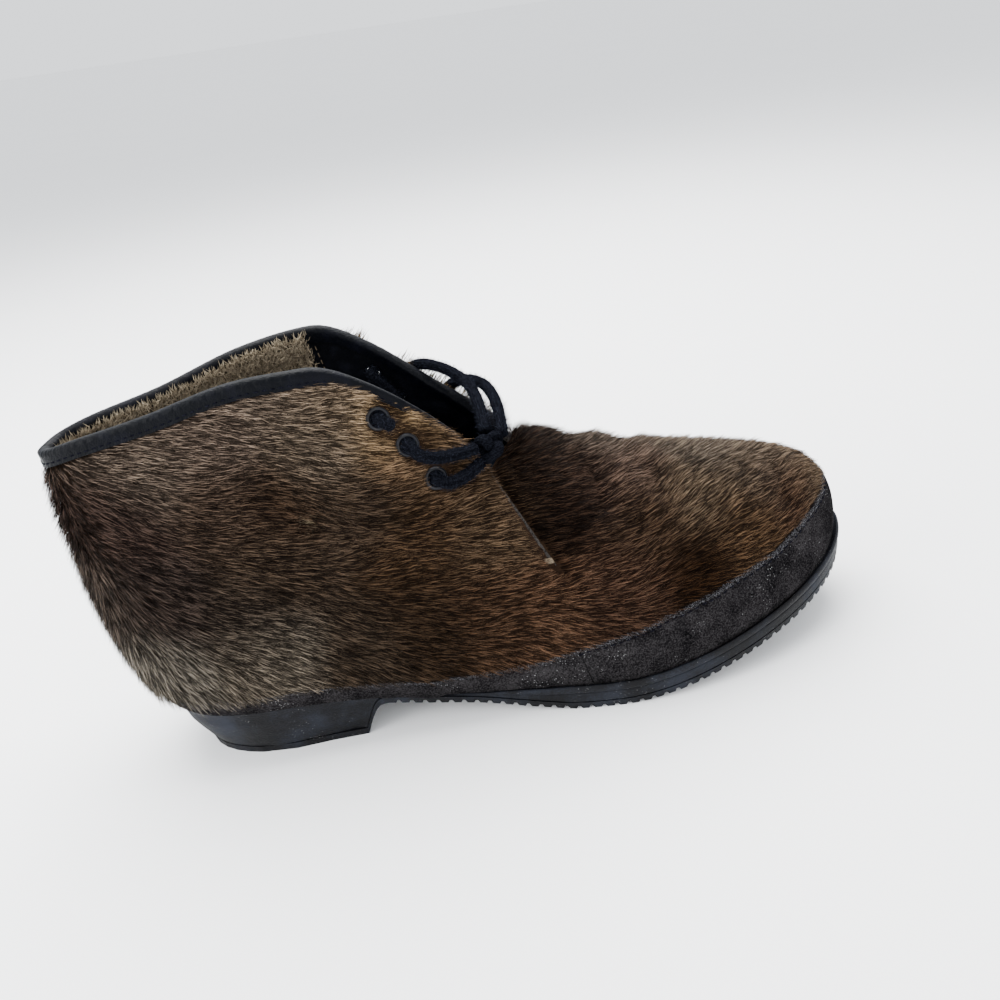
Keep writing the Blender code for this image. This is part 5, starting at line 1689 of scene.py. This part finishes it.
@dataclass
class Coat:
    """The short hair of the hide: which way it lies, how long it is and its colour, by region."""

    finishes: Finishes
    length: float = 7.4 * MM
    richness: float = 1.15
    # Strands to a square metre, the most in a piece, and the place where the rear part ends
    density: float = 4.5e6
    most: int = 62000
    split: float = 0.27
    # The bare share above the rand, how far the hair ends under the binding and how deep it is rooted
    above_rand: float = 0.012
    under_binding: float = 2.9 * MM
    sunk: float = 0.15 * MM
    # Degrees off the skin, and how far the far flap's fringe turns up
    lean: float = 17
    fringe_rise: float = 1.3
    # Place, share, angle in degrees from towards the toe, turned up
    lie_outer: tuple = (
        (0.00, 0.20, -80), (0.00, 0.50, -72), (0.00, 0.90, -60), (0.05, 0.24, -56), (0.05, 0.50, -42),
        (0.06, 0.85, -26), (0.12, 0.17, -40), (0.12, 0.45, -28), (0.12, 0.62, -22), (0.12, 0.89, -14),
        (0.17, 0.93, -12), (0.17, 0.44, -20), (0.21, 0.73, -9), (0.21, 0.27, -22), (0.26, 0.97, 0),
        (0.27, 0.84, -6), (0.28, 0.68, -13), (0.24, 0.46, -14), (0.22, 0.56, -6), (0.29, 0.52, -7),
        (0.28, 0.18, -26), (0.33, 0.94, -12), (0.34, 0.07, -18), (0.35, 0.65, -10), (0.37, 0.26, -8),
        (0.38, 0.57, 6), (0.39, 0.86, -4), (0.44, 0.72, 2), (0.44, 1.00, -24), (0.46, 0.93, -20),
        (0.47, 0.65, 4), (0.43, 0.11, -16), (0.46, 0.32, 12), (0.49, 0.58, 0), (0.49, 0.30, 15),
        (0.53, 0.50, -2), (0.52, 0.20, -10), (0.58, 0.54, 2), (0.59, 0.35, 17), (0.59, 0.15, -6),
        (0.60, 0.62, -4), (0.61, 0.48, 8), (0.62, 0.38, 28), (0.64, 0.72, 6), (0.64, 0.89, 14),
        (0.66, 0.37, 28), (0.67, 0.74, 6), (0.67, 0.08, -6), (0.68, 0.26, 5), (0.69, 0.60, 24),
        (0.69, 0.98, 22), (0.72, 0.59, 21), (0.71, 0.28, 16), (0.74, 0.44, 20), (0.75, 0.96, 22),
        (0.79, 0.73, 22), (0.79, 0.53, 26), (0.79, 0.96, 20), (0.84, 0.50, 26), (0.87, 0.76, 14),
        (0.95, 0.40, 10), (1.00, 0.50, 0),
    )
    lie_inner: tuple = (
        (0.00, 0.20, -80), (0.00, 0.50, -72), (0.00, 0.90, -60), (0.12, 0.20, -40), (0.12, 0.60, -25),
        (0.12, 0.90, -14), (0.25, 0.30, -24), (0.25, 0.70, -14), (0.30, 0.95, -5), (0.40, 0.20, -18),
        (0.40, 0.60, -6), (0.45, 0.90, -24), (0.50, 0.40, -8), (0.50, 0.15, -24), (0.60, 0.95, -14),
        (0.60, 0.60, -26), (0.60, 0.25, -40), (0.69, 0.98, -22), (0.70, 0.60, -32), (0.70, 0.25, -44),
        (0.79, 0.96, -20), (0.80, 0.50, -30), (0.90, 0.50, -14), (1.00, 0.50, 0),
    )
    # Side, place, share, screen colour, how pale the tips are. The darkest colours, on the outer vamp by the
    # throat at places 0.60 to 0.63, are painted shade of the creases there
    colours: tuple = (
        (-1, 0.30, 1.00, (114, 100, 88), 0.60), (-1, 0.39, 0.96, (122, 106, 90), 0.60),
        (-1, 0.45, 0.95, (168, 140, 106), 0.90), (-1, 0.45, 0.80, (96, 76, 58), 0.40),
        (-1, 0.33, 0.84, (96, 84, 72), 0.42), (-1, 0.17, 0.90, (98, 86, 76), 0.42),
        (-1, 0.25, 0.90, (104, 90, 80), 0.45), (-1, 0.28, 0.70, (52, 38, 28), 0.20),
        (-1, 0.22, 0.73, (66, 53, 44), 0.26), (-1, 0.12, 0.75, (56, 43, 38), 0.22),
        (-1, 0.35, 0.62, (62, 50, 40), 0.26), (-1, 0.24, 0.50, (60, 48, 38), 0.26),
        (-1, 0.40, 0.52, (62, 46, 32), 0.20), (-1, 0.49, 0.56, (78, 62, 47), 0.30),
        (-1, 0.12, 0.50, (48, 39, 35), 0.22), (-1, 0.05, 0.50, (70, 60, 54), 0.50),
        (-1, 0.08, 0.22, (100, 94, 86), 1.0), (-1, 0.20, 0.24, (92, 84, 74), 0.75),
        (-1, 0.20, 0.38, (46, 38, 32), 0.22), (-1, 0.30, 0.20, (52, 42, 33), 0.25),
        (-1, 0.37, 0.26, (50, 37, 26), 0.15), (-1, 0.46, 0.30, (66, 48, 35), 0.22),
        (-1, 0.52, 0.28, (76, 55, 41), 0.28), (-1, 0.60, 0.25, (66, 47, 36), 0.25),
        # Painted shade: the next very dark colours lie in the creases by the throat
        (-1, 0.60, 0.60, (26, 16, 10), 0.05), (-1, 0.61, 0.85, (30, 20, 14), 0.08),
        (-1, 0.63, 0.80, (38, 26, 19), 0.12), (-1, 0.64, 0.72, (62, 46, 38), 0.25),
        (-1, 0.67, 0.78, (82, 66, 57), 0.35), (-1, 0.66, 0.97, (82, 72, 64), 0.48),
        (-1, 0.75, 0.97, (84, 75, 66), 0.50), (-1, 0.66, 0.50, (64, 48, 36), 0.25),
        (-1, 0.69, 0.30, (38, 24, 13), 0.05), (-1, 0.72, 0.60, (84, 70, 56), 0.45),
        (-1, 0.75, 0.40, (70, 52, 36), 0.25), (-1, 0.79, 0.75, (76, 64, 53), 0.40),
        (-1, 0.85, 0.60, (66, 46, 34), 0.25), (-1, 0.88, 0.85, (88, 76, 65), 0.50),
        (-1, 0.92, 0.45, (92, 76, 60), 0.50), (1, 0.05, 0.40, (72, 62, 54), 0.40),
        (1, 0.10, 0.20, (84, 78, 68), 0.70), (1, 0.15, 0.70, (66, 52, 44), 0.30),
        (1, 0.25, 0.85, (88, 74, 60), 0.40), (1, 0.25, 0.40, (92, 84, 70), 0.50),
        (1, 0.33, 0.65, (58, 46, 36), 0.25), (1, 0.38, 0.92, (112, 94, 72), 0.50),
        (1, 0.40, 0.30, (96, 86, 70), 0.50), (1, 0.47, 0.70, (88, 74, 56), 0.40),
        (1, 0.52, 0.40, (64, 48, 36), 0.25), (1, 0.62, 0.75, (56, 42, 34), 0.25),
        (1, 0.62, 0.35, (86, 68, 52), 0.40), (1, 0.72, 0.70, (88, 72, 58), 0.45),
        (1, 0.72, 0.30, (66, 48, 34), 0.25), (1, 0.80, 0.50, (84, 66, 52), 0.40),
        (1, 0.75, 0.95, (94, 82, 71), 0.60), (1, 0.92, 0.50, (90, 72, 56), 0.45),
    )

    @staticmethod
    def weights(points: np.ndarray, spots: np.ndarray, reach: float) -> np.ndarray:
        """How much each spot counts at each point, fading over reach, adding up to 1."""
        away = np.linalg.norm(points[..., None, :] - spots, axis=-1)
        share = np.exp(-((away / reach) ** 2)) + 1e-9 / (away + 1e-4)
        return share / share.sum(axis=-1, keepdims=True)

    def lie(self, side: int, place: np.ndarray, points: np.ndarray, normal: np.ndarray) -> np.ndarray:
        """Unit directions in which the hair lies along the skin."""
        rows = self.lie_outer if side == Side.OUTER else self.lie_inner
        spots = np.array([FORM.skin(side, np.array(p), np.array(s)) for p, s, _ in rows])
        angle = np.radians([a for _, _, a in rows])
        share = self.weights(points, spots, 13 * MM)
        onwards, upwards = share @ np.cos(angle), share @ np.sin(angle)
        wave = 0.10 * np.sin(points[..., 0] / (9 * MM) + 3 * np.sin(points[..., 2] / (14 * MM)))
        upwards = upwards + wave + 0.07 * np.sin(points[..., 2] / (5 * MM) + points[..., 0] / (17 * MM))
        level = unit(np.cross(normal, [0, 0, 1.0]) * side)
        along = np.array([1.0, 0, 0]) - normal * normal[..., :1]
        from_heel = ramp(place, 0.10, 0.14)[..., None]
        first = unit(unit(along) * from_heel + level * (1 - from_heel))
        second = np.cross(normal, first) * -side
        return unit(first * onwards[..., None] + second * upwards[..., None])

    def dressed(self, points: np.ndarray) -> tuple[np.ndarray, np.ndarray]:
        """The coat's colour and how pale its tips are, at each point."""
        spots = np.array([FORM.skin(side, np.array(p), np.array(s)) for side, p, s, _, _ in self.colours])
        share = self.weights(points, spots, 12 * MM)
        colour = share @ light_values(np.array([c for _, _, _, c, _ in self.colours]))
        grey = colour.mean(axis=-1, keepdims=True)
        colour = np.maximum(grey + (colour - grey) * self.richness, 0.0005)
        x, y, z = (points[..., k] / MM for k in range(3))
        mottle = np.sin(x / 5.3 + 2 * np.sin(z / 7.1)) * np.sin(z / 4.4 + y / 6.0 + 1.7 * np.sin(x / 8.3))
        mottle += 0.6 * np.sin(x / 2.3 + z / 3.1) * np.sin(z / 2.0 - x / 5.0)
        pale = share @ np.array([p for _, _, _, _, p in self.colours])
        return colour * (1 + 0.16 * mottle)[..., None], pale * (1 + 0.2 * mottle)

    def sheet(self, side: int, first: float, last: float, name: str) -> tuple[bpy.types.Object, float]:
        """The sheet on which the hair of one part of a side grows.

        Args:
            side: The side.
            first: The place where the part starts.
            last: The place where it ends.
            name: The sheet's name.

        Returns:
            The sheet and its covered area.
        """
        places, ends = np.linspace(first, last, 90), np.linspace(0, 1, 64)
        foot = FORM.rand_top(side, places) + self.above_rand
        ribs = np.linalg.norm(FORM.skin(side, places, 1.0) - FORM.skin(side, places, 0.0), axis=-1)
        top = np.where(places < FORM.flap_place + 0.0005, 1 - self.under_binding / ribs, 1.0)
        share = foot[:, None] + (top - foot)[:, None] * ends[None, :]
        place = np.broadcast_to(places[:, None], share.shape)
        points = FORM.creased(side, place, share, -self.sunk)
        normal = sheet_normals(points, FORM.outwards(side, place, np.minimum(share, 0.98)))
        fringe = ramp(share, 0.90, 0.06) * ramp(place, 0.36, 0.06)
        fringe = fringe * (place <= FORM.flap_place) * (side == Side.INNER)
        lie = self.lie(side, place, points, normal)
        lie = unit(lie + np.array([0, 0, self.fringe_rise]) * fringe[..., None])
        steep = self.steep(place, share, foot[:, None], fringe)
        flow = lie * np.cos(steep)[..., None] + normal * np.sin(steep)[..., None]
        long = self.grown_out(place, share, foot[:, None], fringe)
        cover = np.ones(share.shape)
        for spot, _ in seats().values():
            away = np.linalg.norm(points - spot, axis=-1)
            long *= np.clip((away - 3.5 * MM) / (7 * MM), 0.3, 1)
            cover *= ramp(away, 3.9 * MM, 1 * MM)
        if last <= FORM.flap_place + 1e-6:
            ends = np.linspace(float(FORM.seam_share(FORM.flap_place)), 1, 40)
            rim = FORM.skin(side, np.full_like(ends, FORM.flap_place), ends)
            away = np.min(np.linalg.norm(points[..., None, :] - rim, axis=-1), axis=-1)
            long *= np.clip((away - 1.2 * MM) / self.length, 0.12, 1)
            cover *= ramp(away, 1.9 * MM, 0.4 * MM)
        colour, pale = self.dressed(points)
        made = sown(name, points, flow, long, cover, {"coat": colour, "pale": pale})
        areas = np.array([p.area for p in made.data.polygons])
        return made, float(areas.sum())

    def steep(self, place: np.ndarray, share: np.ndarray, foot: np.ndarray, fringe: np.ndarray) -> np.ndarray:
        """The angle at which the hair leaves the skin, greater where it stands up."""
        at_heel = np.clip(1 - place / 0.10, 0, 1)
        low = np.clip(1 - (share - foot) / 0.1, 0, 1)
        on_ridge = ramp(share, 0.78, 0.2) * (place > FORM.flap_place)
        over_flap = ramp(share, 0.86, 0.08) * ramp(place, 0.38, 0.05)
        over_flap = over_flap * (place <= FORM.flap_place)
        angle = self.lean + 20 * fringe + 20 * at_heel + 8 * low + 18 * on_ridge + 18 * over_flap
        return np.radians(angle)

    @staticmethod
    def grown_out(place: np.ndarray, share: np.ndarray, foot: np.ndarray, fringe: np.ndarray) -> np.ndarray:
        """How long the hair is, as a share of its full length."""
        near_binding = ramp(share, 0.85, 0.15) * (place < FORM.flap_place)
        long = 1 - 0.25 * near_binding * (1 - fringe) + 0.2 * fringe
        return long - 0.35 * ramp(place, 0.75, 0.2) * np.clip(1 - (share - foot) / 0.3, 0, 1)

    def build(self) -> None:
        """Grows the coat in parts, each a piece of its own."""
        flap = FORM.flap_place
        parts = (("rear", 0.0, self.split), ("front", self.split, flap), ("vamp", flap + 0.001, 1.0))
        beds = []
        for side in Side:
            for part, first, last in parts:
                sheet, area = self.sheet(side, first, last, f"coat_{side.word}_{part}")
                count = int(min(area * self.density, self.most))
                beds.append((f"hair_{side.word}_{part}", sheet, count, len(beds) + 1))
        strands = Strands("coat", self.length, 0.2 * MM, 0.75 * MM, jitter=0.13, pull=0.7)
        strands.grow("brown_hair_hide", self.finishes.hair, beds)


@dataclass
class Rands:
    """The suede band round the foot of the upper: a low piece round the heel and a high one round the toe."""

    finishes: Finishes
    thickness: float = 1.5 * MM
    gap: float = 0.3 * MM
    joint: float = 0.545
    seam: float = 0.0005
    rows: int = 9
    nap_count: int = 1600

    def line(self, side: int, place: np.ndarray, down: float, height: float) -> np.ndarray:
        """Points along the band, a share of its width down from its top edge."""
        wave = 1 + 0.018 * np.sin(place * 61) + 0.012 * np.sin(place * 147 + 1)
        return FORM.skin(side, place, FORM.rand_top(side, place) * wave * (1 - down), height)

    def sections(self, side: int, places: np.ndarray) -> np.ndarray:
        """Closed sections of the band, round at its top edge."""
        downs = np.linspace(1, 0, self.rows)
        near = np.stack([self.line(side, places, d, self.gap) for d in downs], axis=1)
        thick = np.where(downs < 0.02, 0.55, np.where(downs < 0.15, 0.9, 1.0)) * self.thickness
        far = np.stack([self.line(side, places, d, self.gap + t) for d, t in zip(downs, thick)], axis=1)
        near[:, 0, 2] = far[:, 0, 2] = FORM.sole_top(far[:, 0, 0]) + FORM.seat_gap
        return np.concatenate([near, far[:, ::-1]], axis=1)

    def build(self) -> None:
        """Makes both bands, the stitches along the toe's and the nap on their top edges."""
        heel = np.linspace(0, self.joint - self.seam, 120)
        toe = np.linspace(self.joint + self.seam, 1, 120)
        outer, inner = Side.OUTER, Side.INNER
        rings = np.concatenate([self.sections(outer, heel[::-1]), self.sections(inner, heel[1:])])
        placed(swept("rand_heel_band", rings, self.finishes.suede), "grey_suede", "rand_heel")
        rings = np.concatenate([self.sections(outer, toe), self.sections(inner, toe[-2::-1])])
        placed(swept("rand_toe_band", rings, self.finishes.suede), "grey_suede", "rand_toe")
        height = self.gap + self.thickness
        ways = ((outer, toe), (inner, toe[-2::-1]))
        line = np.concatenate([self.line(side, places, 0.12, height) for side, places in ways])
        out = np.concatenate([FORM.outwards(side, places, 0.3) for side, places in ways])
        stitches = Stitches("rand", 3.2 * MM, 2.3 * MM, 0.28 * MM)
        stitches.sew("grey_suede", self.finishes.thread, "rand_stitches", line, out)
        self.nap((("heel", heel), ("toe", toe)))

    def nap(self, parts: Sequence[tuple[str, np.ndarray]]) -> None:
        """Short fibres along the cut edge."""
        beds = []
        for number, (word, places) in enumerate(parts):
            for side in Side:
                downs = (0.10, 0.04, 0.0)
                height = self.gap + 0.8 * self.thickness
                points = np.stack([self.line(side, places, d, height) for d in downs])
                out = FORM.outwards(side, places, 0.3)
                rise = unit(points[-1] - points[0])
                flow = np.broadcast_to(unit(out * 0.7 + rise * 0.7), points.shape).copy()
                sheet = sown(f"nap_{word}_{side.word}", points, flow)
                seed = 60 + 2 * number + (side > 0)
                beds.append((f"rand_nap_{word}_{side.word}", sheet, self.nap_count, seed))
        strands = Strands("nap", 1.3 * MM, 0.10 * MM, 0.2 * MM, jitter=0.7)
        strands.grow("grey_suede", self.finishes.nap, beds)


@dataclass
class Binding:
    """The leather binding over the edge of the collar and of both flaps, with its seam."""

    finishes: Finishes
    leg: float = 3.4 * MM
    thickness: float = 0.9 * MM
    bead: float = 2.3 * MM
    clear: float = 0.5 * MM
    end: float = 0.565

    def frame_at(self, side: int, place: np.ndarray) -> dict[str, np.ndarray]:
        """The faces and directions of the wall's top edge at each place."""
        low = 1 - 0.045
        rows = (np.full_like(place, low), np.full_like(place, 1.0))
        spine = [FORM.form(side, place, row) for row in rows]
        length = np.linalg.norm(spine[1] - spine[0], axis=-1, keepdims=True)
        foot = 1 - self.leg / length
        directions = [FORM.outwards(side, place, row) for row in rows]
        out = [FORM.skin(side, place, row) for row in rows]
        back = [FORM.lining(side, place, row) for row in rows]
        return {
            "rise": (spine[1] - spine[0]) / length,
            "low": directions[0] * (1 - foot) + directions[1] * foot,
            "high": directions[1],
            "out_foot": out[0] + (out[1] - out[0]) * foot,
            "back_foot": back[0] + (back[1] - back[0]) * foot,
            "out_top": out[1],
            "back_top": back[1],
        }

    def sections(self, side: int, place: np.ndarray) -> np.ndarray:
        """Closed sections: two legs on the wall's faces and a round bead over its edge."""
        f = self.frame_at(side, place)
        middle = (f["out_top"] + f["back_top"]) / 2
        far = self.clear + self.thickness
        half = np.linalg.norm(f["out_top"] - f["back_top"], axis=-1, keepdims=True) / 2 + far
        wrinkle = 0.12 * MM * (np.sin(place * 900) + np.sin(place * 523 + 1))[:, None]
        wide = f["high"] * (half + wrinkle)
        bead = [
            middle + wide * math.cos(a) + f["rise"] * (self.clear + self.bead * math.sin(a))
            for a in np.linspace(math.pi * 0.08, math.pi * 0.92, 11)
        ]
        waist_out = f["out_foot"] * 0.55 + f["out_top"] * 0.45 + f["high"] * (far - 0.25 * MM)
        points = [f["out_foot"] + f["low"] * (self.clear + 0.15 * MM)]
        points += [f["out_foot"] + f["low"] * far, waist_out]
        points += [f["out_top"] + f["high"] * far, *bead, f["back_top"] - f["high"] * far]
        points += [f["back_foot"] - f["low"] * far, f["back_foot"] - f["low"] * self.clear]
        points += [f["back_top"] - f["high"] * self.clear, f["out_top"] + f["high"] * self.clear]
        points += [f["out_foot"] + f["low"] * self.clear]
        return np.stack(points, axis=1)

    def build(self) -> None:
        """Makes the binding and the stitches along its outer leg."""
        places = np.linspace(0, self.end, 230)
        ways = ((Side.OUTER, places[::-1]), (Side.INNER, places[1:]))
        rings = np.concatenate([self.sections(side, way) for side, way in ways])
        placed(swept("collar_piping", rings, self.finishes.binding), "navy_leather", "collar_binding")
        lines, outs = [], []
        for side in Side:
            f = self.frame_at(side, places)
            far = self.clear + self.thickness - 0.1 * MM
            lines.append(f["out_foot"] * 0.6 + f["out_top"] * 0.4 + f["high"] * far)
            outs.append(f["high"])
        stitches = Stitches("binding", 2.9 * MM, 2.0 * MM, 0.26 * MM)
        stitches.sew("navy_leather", self.finishes.thread, "binding_stitches", lines, outs)


@dataclass
class Eyelets:
    """Six round eyelets with rolled flanges."""

    finishes: Finishes
    bore: float = 2.5 * MM
    wall: float = 0.5 * MM
    flange: float = 4.3 * MM
    lip: float = 0.8 * MM
    sides: int = 28

    def build(self) -> None:
        """Turns one profile round each eyelet's axis."""
        barrel, top, gap = self.bore + self.wall, self.lip + 0.45 * MM, 0.3 * MM
        middle, reach = (self.bore + self.flange) / 2, (self.flange - self.bore) / 2
        turns = np.linspace(0.15, math.pi, 9)
        arch = [(middle - reach * math.cos(a), gap + (top - gap) * math.sin(a)) for a in turns]
        profile = [(self.bore, gap), *arch, (barrel, 1.2 * gap), (barrel, -2.8 * MM), (self.bore, -2.8 * MM)]
        radius, z = (np.array(v) for v in zip(*profile))
        angle = np.arange(self.sides) * 2 * math.pi / self.sides
        points, faces = [], []
        for number, (spot, out) in enumerate(seats().values()):
            side, other = across(out, [0.3, 0.1, 1.0])
            for a in angle:
                way = math.cos(a) * side + math.sin(a) * other
                points.append(spot + np.outer(radius, way) + np.outer(z, out))
            first = number * self.sides * len(profile)
            ring = grid_quads(self.sides, len(profile), closed=True, first=first)
            last = first + (self.sides - 1) * len(profile)
            k = np.arange(len(profile))
            n = (k + 1) % len(profile)
            closing = np.stack([last + k, last + n, first + n, first + k], axis=1)
            faces += [*ring.tolist(), *closing.tolist()]
        made = mesh_object("eyelets", np.concatenate(points), faces, [self.finishes.enamel])
        names = [f"eyelet_{key}" for key in seats()]
        placed(made, "black_enamel", *names)


@dataclass
class Tongue:
    """The felt tongue under both flaps."""

    finishes: Finishes
    thickness: float = 3 * MM
    arch: float = 0.1
    nap: int = 5000
    # Place, the share where the tongue starts on each side, the share where it leaves the flap
    rows: tuple = (
        (0.398, 0.70, 0.84),
        (0.430, 0.66, 0.82),
        (0.455, 0.58, 0.74),
        (0.475, 0.50, 0.63),
        (0.500, 0.49, 0.65),
        (0.530, 0.54, 0.75),
        (0.565, 0.60, 0.81),
        (0.590, 0.66, 0.81),
        (0.622, 0.68, 0.81),
    )

    def line(self, place: float, low: float, high: float, depth: float) -> np.ndarray:
        """A line across the tongue: under the outer flap, over the instep and under the inner flap."""
        shares = np.linspace(low, high, 8)
        outer = FORM.lining(Side.OUTER, np.full_like(shares, place), shares, -depth)
        inner = FORM.lining(Side.INNER, np.full_like(shares, place), shares, -depth)
        start, end = outer[-1], inner[-1]
        reach = np.linalg.norm(end - start) * 0.4
        lead, land = unit(outer[-1] - outer[-2]) * reach, unit(inner[-1] - inner[-2]) * reach
        level = (end - start) * 0.3
        lead = level * (1 - self.arch) + lead * self.arch
        land = land * self.arch - level * (1 - self.arch)
        t = np.linspace(0, 1, 19)[1:-1, None]
        over = (1 - t) ** 3 * start + 3 * (1 - t) ** 2 * t * (start + lead)
        over = over + 3 * (1 - t) * t**2 * (end + land) + t**3 * end
        return np.concatenate([outer, over, inner[::-1]])

    def build(self) -> None:
        """Makes the tongue and its nap."""
        rows = np.array(self.rows)
        clear = FORM.flap_step + 0.9 * MM
        tops, sections = [], []
        for place in np.linspace(rows[0, 0], rows[-1, 0], 44):
            low, high = (float(smooth(place, rows[:, 0], rows[:, k])) for k in (1, 2))
            top = self.line(place, low, high, clear)
            under = self.line(place, low, high, clear + self.thickness)
            sections.append(np.concatenate([top, under[::-1]]))
            tops.append(top)
        placed(swept("tongue_felt", sections, self.finishes.felt), "dark_felt", "tongue")
        tops = np.array(tops)
        normal = sheet_normals(tops, np.broadcast_to([0.3, 0, 1.0], tops.shape))
        flow = unit(normal * 0.7 + np.array([-0.7, 0, 0.2]))
        bed = ("tongue_nap", sown("felt_sheet", tops, flow), self.nap, 71)
        strands = Strands("felt", 2.2 * MM, 0.12 * MM, 0.4 * MM, jitter=0.8)
        strands.grow("dark_felt", self.finishes.lace_fuzz, [bed])


@dataclass
class InnerPile:
    """The fleece pile of the rear lining, where the collar shows it."""

    finishes: Finishes
    end: float = 0.36
    start_share: float = 0.60
    end_share: float = 0.996
    # The share from which it lies over the binding's leg
    over_leg: float = 0.90
    sunk: float = 1.9 * MM
    count: int = 10500

    def build(self) -> None:
        """Plants a short curly pile on both sides of the rear lining, up to the binding's bead."""
        places = np.linspace(0, self.end, 60)
        shares = np.linspace(self.start_share, self.end_share, 54)
        place, share = np.broadcast_arrays(places[:, None], shares[None, :])
        near_top = ramp(share, self.over_leg, 0.03)
        sunk = self.sunk * ramp(share, 0.925, 0.025)
        rise = 0.35 + 1.1 * ramp(share, self.over_leg, 0.06)
        beds = []
        for side in Side:
            points = FORM.lining(side, place, share, -sunk)
            flow = unit(np.array([0, 0, 1.0]) * rise[..., None] - FORM.outwards(side, place, share))
            sheet = sown(f"pile_{side.word}", points, flow, 1 - 0.25 * near_top, 1 + 2.5 * near_top)
            beds.append((f"lining_pile_{side.word}", sheet, self.count, 80 + (side > 0)))
        strands = Strands("pile", 5.0 * MM, 0.40 * MM, 1.2 * MM, jitter=0.7, locks=260, pull=1.2)
        strands.grow("brown_fleece", self.finishes.pile, beds)


@dataclass
class Details:
    """The flaps' cut edges, the bar tacks at their corners and the seams of the facings."""

    finishes: Finishes
    facing_seam: float = 0.370

    def flap_edges(self) -> None:
        """The bare cut edge of each flap: a narrow strip with no hair on it."""
        low = float(FORM.seam_share(FORM.flap_place)) + 0.03
        for side in Side:
            shares = np.linspace(low, 0.975, 80)
            rim = np.full_like(shares, FORM.flap_place)
            edge = FORM.skin(side, rim, shares)
            out = FORM.outwards(side, rim, shares)
            back = unit(FORM.skin(side, rim - 0.006, shares) - edge)
            uneven = (1.5 + 0.18 * np.sin(shares * 90) + 0.12 * np.sin(shares * 41 + 2))[:, None] * MM
            proud = (0.34 + 0.07 * np.sin(shares * 150))[:, None] * MM
            turn = edge - back * 0.22 * MM
            corners = [edge - out * 0.5 * MM + back * 0.1 * MM, turn - out * 0.2 * MM]
            corners += [turn + out * proud * 0.6, edge + out * proud + back * 0.2 * MM]
            corners += [edge + out * proud * 0.9 + back * uneven * 0.6, edge + back * uneven - out * 0.1 * MM]
            sections = np.stack(corners, axis=1)
            strip = swept(f"flap_edge_{side.word}", sections, self.finishes.cut_edge, sharp=80)
            placed(strip, "brown_hair_hide")

    def build(self) -> None:
        """Lays the flaps' cut edges and sews the bar tacks and the seams."""
        self.flap_edges()
        self.bar_tacks()
        self.facing_seams()

    def bar_tacks(self) -> None:
        """A row of short threads over each flap's lower corner."""
        share = float(FORM.seam_share(FORM.flap_place))
        lines, outs = [], []
        for side in Side:
            for step in np.linspace(-0.006, 0.012, 7):
                at = np.array([FORM.flap_place - 0.0055, FORM.flap_place + 0.0015])
                here = np.full(2, share + 0.02 + step)
                ends = FORM.skin(side, np.array([at[0], at[0]]), here, 0.5 * MM)
                ends[1] = FORM.skin(side, np.array(at[1]), here[1], FORM.flap_step + 0.5 * MM)
                lines.append(ends)
                outs.append(FORM.outwards(side, np.full(2, at[0]), here))
        stitches = Stitches("tack", 50 * MM, 3.4 * MM, 0.34 * MM)
        stitches.sew("brown_hair_hide", self.finishes.pale_thread, "bar_tacks", lines, outs)

    def facing_seams(self) -> None:
        """The seam between the fleece and the facing, on both sides."""
        shares = np.linspace(0.40, 0.955, 60)
        at = np.full_like(shares, self.facing_seam)
        lines = [FORM.lining(side, at, shares, -0.15 * MM) for side in Side]
        outs = [-FORM.outwards(side, at, shares) for side in Side]
        seams = Stitches("facing", 3.0 * MM, 2.2 * MM, 0.24 * MM)
        seams.sew("navy_leather", self.finishes.pale_thread, "facing_stitches", lines, outs)


def main() -> None:
    """Builds the boot's looks piece by piece."""
    logging.basicConfig(level=logging.INFO, format="%(message)s")
    finishes = Finishes()
    Studio().build(finishes)
    Laces(finishes).build()
    Sole(finishes).build()
    Upper(finishes).build()
    Rands(finishes).build()
    Binding(finishes).build()
    Eyelets(finishes).build()
    Tongue(finishes).build()
    InnerPile(finishes).build()
    Details(finishes).build()
    Coat(finishes).build()


if __name__ == "__main__":
    main()
